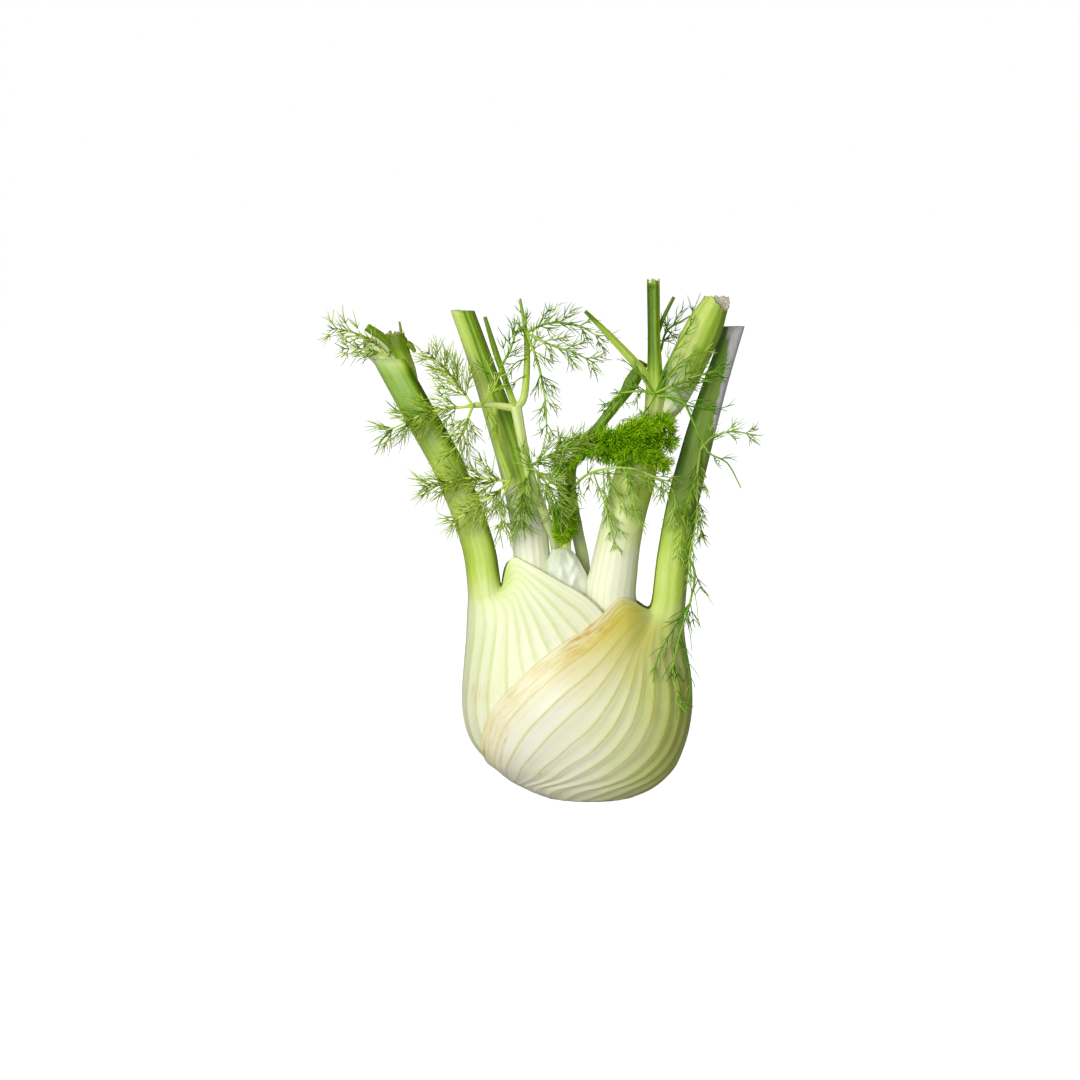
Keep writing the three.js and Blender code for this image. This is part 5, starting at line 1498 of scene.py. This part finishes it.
class Frond:
    """A frond's threads: midribs, sprigs, needles, and the finer threads along all of these."""

    def __init__(self, name, look, seed):
        self.look = look
        self.random = np.random.default_rng(seed)
        self.threads = Threads()
        self.lines = [rib_line(route) for route in FROND_ROUTES[name]]
        self.loose = [rib_line(route) for route in LOOSE_ROUTES.get(name, [])]

    def strays(self, count, size):
        """Random steps in every direction, with a usual size for all or for each."""
        return self.random.normal(0, 1, (count, 3)) * np.asarray(size)[..., None]

    def add_threads(self, start, end, half, curl, rows=5):
        """Threads from starts to ends, bowed to random sides by a share of their length."""
        count = len(start)
        length = np.linalg.norm(end - start, axis=1)
        bow = self.strays(count, length * curl)
        tone = self.random.uniform(0, 1, count)
        lines = bent(start, end, bow, rows)
        self.threads.add(lines, tapering(half, THREAD_TIP, count, rows), tone)

    def add_rib(self, root, line, kind):
        """A thicker thread from its root and on along a line."""
        whole = np.concatenate([[root], line])[None]
        radii = tapering(*kind["radii"], 1, whole.shape[1])
        self.threads.add(whole, radii, self.random.uniform(*kind["tones"], 1), kind["sides"])

    def add_sprigs(self, tips, feet):
        """Axes through their last stretch and back to the midrib. Gives where they start."""
        ribs = np.concatenate(self.lines)
        way = unit(tips - feet)
        starts = []
        for tip, direction in zip(tips, way):
            away = ribs - tip
            along = away @ direction
            off = np.linalg.norm(away - along[:, None] * direction, axis=1)
            starts.append(ribs[np.where(along < 0, off, np.inf).argmin()])
        starts = np.array(starts)
        self.add_threads(starts, tips, SPRIG_HALF, 0.02, 7)
        return starts

    def uneven(self, feet, tips):
        """Tips moved so that the threads to them are of uneven length."""
        share = self.random.uniform(*self.look["vary"], (len(tips), 1))
        return kept_in(feet + (tips - feet) * share + self.strays(len(tips), TIP_STRAY))

    def swung(self, way, sides, spread, stray):
        """Directions that leave others at about an angle, to either side of a flat spray."""
        count = len(way)
        plane = unit(np.cross(way, FROND_FACE))
        swing = (sides + self.random.normal(0, SWING, count))[:, None]
        out = unit(plane * swing + np.cross(plane, way) * self.random.normal(0, stray, (count, 1)))
        angle = np.radians(spread * self.random.uniform(*ANGLE_RANGE, count))[:, None]
        return way * np.cos(angle) + out * np.sin(angle)

    def fill_sprigs(self, line, spacing, reach):
        """Further sprigs on a midrib between those of the solid frond. Gives their two ends."""
        look = self.look
        pairs = max(1, int(len(line) * RIB_STEP / spacing))
        order = np.arange(2 * pairs)
        share = (order // 2 + self.random.uniform(0.2, 1.1, 2 * pairs)) / (pairs + 0.3)
        place = share * (len(line) - 2)
        i = place.astype(int)
        f = (place - i)[:, None]
        foot = line[i] * (1 - f) + line[i + 1] * f
        way = unit(np.gradient(line, axis=0))[i]
        size = look["reach"] * reach * (1 - SPRIG_TAPER * share)
        size = size * self.random.uniform(*LENGTH_RANGE, 2 * pairs)
        sides = np.where(order % 2, 1, -1)
        tip = kept_in(foot + self.swung(way, sides, look["spread"], look["stray"]) * size[:, None])
        self.add_threads(foot, tip, FILL_HALF, 0.05, 6)
        return foot, tip

    def comb(self, start, end, spacing, length):
        """Fine threads in pairs along each of many straight lines, shorter towards their ends."""
        look = self.look
        reach = np.linalg.norm(end - start, axis=1)
        counts = np.rint(reach / spacing).astype(int) * 2
        owner = np.repeat(np.arange(len(start)), counts)
        step = np.concatenate([np.arange(n) for n in counts])
        total = len(step)
        if not total:
            return
        share = (step // 2 * 2 + 1 + self.random.uniform(-0.6, 0.6, total)) / (counts[owner] + 1)
        foot = start[owner] + (end - start)[owner] * share[:, None]
        size = length * (1 - COMB_TAPER * share) * self.random.uniform(*COMB_RANGE, total)
        sides = np.where(step % 2, 1, -1)
        way = self.swung(unit(end - start)[owner], sides, look["fork"], look["stray"])
        self.add_threads(foot, kept_in(foot + way * size[:, None]), THREAD_HALF, look["curl"], 4)

    def grow_from(self, node):
        """Midribs, and the sprigs and needles of the frond's solid with threads along them."""
        look = self.look
        tips, feet, is_axis = frond_spikes(node)
        ends = np.array([line[-1] for line in self.lines])
        is_end = (np.linalg.norm(tips[:, None] - ends, axis=2) < END_MATCH).any(1)
        is_sprig = is_axis & ~is_end
        is_needle = ~is_axis & ~is_end
        for line in self.lines:
            way = unit(nearest(STEM_CENTRES, line[0]) - line[0])
            self.add_rib(line[0] + way * ROOT_REACH, line, MIDRIB)
        sprig_tips = tips[is_sprig]
        starts = self.add_sprigs(sprig_tips, feet[is_sprig])
        needle_tips = self.uneven(feet[is_needle], tips[is_needle])
        self.add_threads(feet[is_needle], needle_tips, THREAD_HALF, look["curl"])
        self.comb(starts, sprig_tips, look["spacing"], look["comb"])
        if look["needle"]:
            spacing = look["spacing"] * NEEDLE_GAPS
            self.comb(feet[is_needle], tips[is_needle], spacing, look["needle"])
        return np.median(np.linalg.norm(sprig_tips - starts, axis=1))

    def grow(self, node):
        """The whole frond: what its solid has, further sprigs like them, and looser threads."""
        look = self.look
        reach = self.grow_from(node)
        for line in self.lines:
            feet, tips = self.fill_sprigs(line, look["sprigs"], reach)
            self.comb(feet, tips, look["spacing"], look["comb"] * FILL_COMB)
        parents = np.concatenate([STEM_CENTRES, *self.lines])
        wider, shorter = LOOSE_COMB
        for line in self.loose:
            self.add_rib(nearest(parents, line[0]), line, LOOSE_RIB)
            feet, tips = self.fill_sprigs(line, look["loose"], LOOSE_REACH)
            self.comb(feet, tips, look["spacing"] * wider, look["comb"] * shorter)


def stem_centres():
    """Points along the middles of all stems that fronds grow on."""
    stems = [
        RIGHT_STALK, LEFT_STALK, INNER_RIGHT, THICK_BRANCH, UPRIGHT_BRANCH, LEANING_BRANCH,
        INNER_LEFT, HOOD, HOOD_STEM, SLENDER, FORKED, *FORKS, SHOOT, SHOOT_STEM,
    ]
    t = np.linspace(0, 1, CENTRES_PER_STEM)
    return np.concatenate([through(stations, t)[:, :3] for stations in stems])


def frond_material(name, stops):
    """The muted green of a frond's threads, each of its own tone and paler towards its tip."""
    material, w, shader = new_material(name)
    tone = w.attribute("tone")
    mottle = w.group(MOTTLING, scale=70.0, low=0.3, high=0.7)["Mask"]
    shade = w.math("ADD", w.math("MULTIPLY", tone, 0.7), w.math("MULTIPLY", mottle, 0.3))
    shade = w.math("ADD", shade, w.math("MULTIPLY", w.attribute("reach"), 0.12))
    w.feed(shader.inputs["Base Color"], w.ramp(shade, stops))
    w.feed(shader.inputs["Roughness"], w.between(tone, 0.0, 1.0, 0.5, 0.65))
    w.feed(shader.inputs["Specular IOR Level"], 0.12)
    return material


STEM_CENTRES = stem_centres()
FROND_TONES = {
    "light frond": [(0.05, "#568610"), (0.35, "#9AC42C"), (0.65, "#C8E052"), (1.0, "#ECF4A4")],
    "frond green": [(0.05, "#3A6A06"), (0.35, "#72A61A"), (0.65, "#A4C83E"), (1.0, "#D6E88E")],
    "dark frond": [(0.05, "#2C5E05"), (0.4, "#5C9812"), (0.7, "#8ABC2A"), (1.0, "#BEDA6A")],
    "fluffy frond": [(0.05, "#408000"), (0.4, "#78BA00"), (0.7, "#A2D00A"), (1.0, "#D0E640")],
    "pale frond": [(0.05, "#5A8C14"), (0.4, "#8FBC34"), (0.7, "#B0D254"), (1.0, "#D6E88E")],
}

# What a frond's threads are like. Further sprigs: millimetres of midrib to each pair, their
# length against the solid's own, and the angle that they leave at. Threads along a sprig: their
# spacing, length and angle. Then how far all of these stray from a flat spray, the length of the
# threads on needles, how much a thread is bowed, how uneven the needles are in length, and the
# spacing of the sprigs on looser threads.
FULL = {
    "sprigs": 7, "reach": 1.9, "spread": 25, "spacing": 3.8, "comb": 13, "fork": 18, "stray": 0.3,
    "needle": 0, "curl": 0.04, "vary": (0.8, 1.5), "loose": 6,
}
THICK = {**FULL, "sprigs": 4.4, "loose": 3.2}
AIRY = {**FULL, "sprigs": 16, "spacing": 6, "comb": 11, "curl": 0.07, "vary": (0.6, 1.5)}
SPARSE = {**AIRY, "sprigs": 24, "reach": 2.1, "stray": 0.5, "spacing": 9, "comb": 9, "loose": 3.4}
CURLY = {**SPARSE, "curl": 0.1, "vary": (0.8, 1.6), "loose": 7}
OPEN = {**SPARSE, "sprigs": 14, "spread": 24, "spacing": 40, "vary": (1.0, 2.2), "loose": 7}
DENSE = {
    "sprigs": 0.8, "reach": 1.25, "spread": 38, "spacing": 1.4, "comb": 6.4, "fork": 28,
    "stray": 0.9, "needle": 3.4, "curl": 0.08, "vary": (0.8, 1.2), "loose": 0.8,
}
TUFT = {**DENSE, "sprigs": 0.3, "reach": 1.0, "spacing": 0.5, "comb": 2.4, "curl": 0.22}


def make_fronds():
    """Every frond, in the greens and with the kind of threads that it has."""
    light, mid, dark, bright, pale = (frond_material(*item) for item in FROND_TONES.items())
    kinds = {
        "frond_left_top": (light, AIRY), "frond_left_upper": (light, FULL),
        "frond_left_lower": (light, FULL), "frond_airy": (mid, AIRY), "frond_dark": (dark, AIRY),
        "frond_centre": (mid, THICK), "frond_young": (bright, TUFT), "frond_fluffy": (bright, DENSE),
        "frond_arched": (pale, AIRY), "frond_node": (dark, CURLY), "frond_behind": (dark, AIRY),
        "frond_right": (pale, SPARSE), "frond_hanging": (dark, OPEN),
    }
    for seed, (name, (material, look)) in enumerate(kinds.items(), FIRST_SEED):
        frond = Frond(name, look, seed)
        frond.grow(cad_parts[name])
        hand_over(frond.threads.mesh(name, [material]), "frond", name)


make_fronds()

# ---- studio ------------------------------------------------------------------------------------

# Lengths here are in metres, and the lens and its sensor are in millimetres.
CAMERA_RISE = 6             # degrees above level
CAMERA_AWAY = 1.25
CAMERA_AIM = (-0.021, 0.0, 0.1094)
LENS = 99.2
SENSOR_WIDTH = 36
SKY_LIGHT = 0.21
FLOOR_GLOW = 1.0
FLOOR_HALF = 6.0
# Place, width, watts and tint of each light.
KEY_LIGHT = ((-0.74, -1.25, 0.75), 1.0, 15.4, (1.0, 0.99, 0.96))
FILL_LIGHT = ((-0.44, -1.4, 0.22), 0.7, 7.6, (0.98, 1.0, 0.98))


def add_camera():
    """A camera in front of the bulb, a little above it."""
    data = bpy.data.cameras.new("camera")
    data.lens = LENS
    data.sensor_width = SENSOR_WIDTH
    data.clip_start = 0.02
    camera = bpy.data.objects.new("camera", data)
    rise = math.radians(CAMERA_RISE)
    x, y, z = CAMERA_AIM
    camera.location = (x, y - CAMERA_AWAY * math.cos(rise), z + CAMERA_AWAY * math.sin(rise))
    camera.rotation_euler = (math.pi / 2 - rise, 0, 0)
    bpy.context.scene.collection.objects.link(camera)
    bpy.context.scene.camera = camera


def add_softbox(name, place, size, watts, tint):
    """A round soft light that shines at the middle of the bulb."""
    data = bpy.data.lights.new(name, "AREA")
    data.shape = "DISK"
    data.size = size
    data.energy = watts
    data.color = tint
    light = bpy.data.objects.new(name, data)
    light.location = place
    light.rotation_euler = (Vector(CAMERA_AIM) - Vector(place)).to_track_quat("-Z", "Y").to_euler()
    bpy.context.scene.collection.objects.link(light)


def camera_share(w):
    """1 where the camera looks at a face itself, and 0 for the light that the face passes on."""
    return w.put("ShaderNodeLightPath").outputs["Is Camera Ray"]


def add_floor():
    """A plain pale floor that fades into the white surround."""
    material, w, shader = new_material("pale floor")
    grain = w.noise(w.place(), 30.0, 3.0)
    w.feed(shader.inputs["Base Color"], w.mix(grain, colour("#B4B4B2"), colour("#BCBCBA")))
    shader.inputs["Roughness"].default_value = 0.9
    shader.inputs["Specular IOR Level"].default_value = 0.1
    shader.inputs["Emission Color"].default_value = (1, 1, 1, 1)
    w.feed(shader.inputs["Emission Strength"], w.math("MULTIPLY", camera_share(w), FLOOR_GLOW))
    mesh = bpy.data.meshes.new("floor")
    corners = [(x * FLOOR_HALF, y * FLOOR_HALF, 0) for x, y in ((-1, -1), (1, -1), (1, 1), (-1, 1))]
    mesh.from_pydata(corners, [], [(0, 1, 2, 3)])
    mesh.materials.append(material)
    floor = bpy.data.objects.new("floor", mesh)
    bpy.context.scene.collection.objects.link(floor)


def add_sky():
    """A white surround: soft light for the bulb, and plain white behind it."""
    world = bpy.data.worlds.new("white surround")
    world.use_nodes = True
    w = Wiring(world.node_tree)
    background = world.node_tree.nodes["Background"]
    w.feed(background.inputs["Strength"], w.between(camera_share(w), 0.0, 1.0, SKY_LIGHT, 1.0))
    background.inputs["Color"].default_value = (1, 1, 1, 1)
    bpy.context.scene.world = world


add_camera()
add_floor()
add_sky()
add_softbox("key light", *KEY_LIGHT)
add_softbox("fill light", *FILL_LIGHT)
bpy.context.scene.view_settings.view_transform = "Standard"
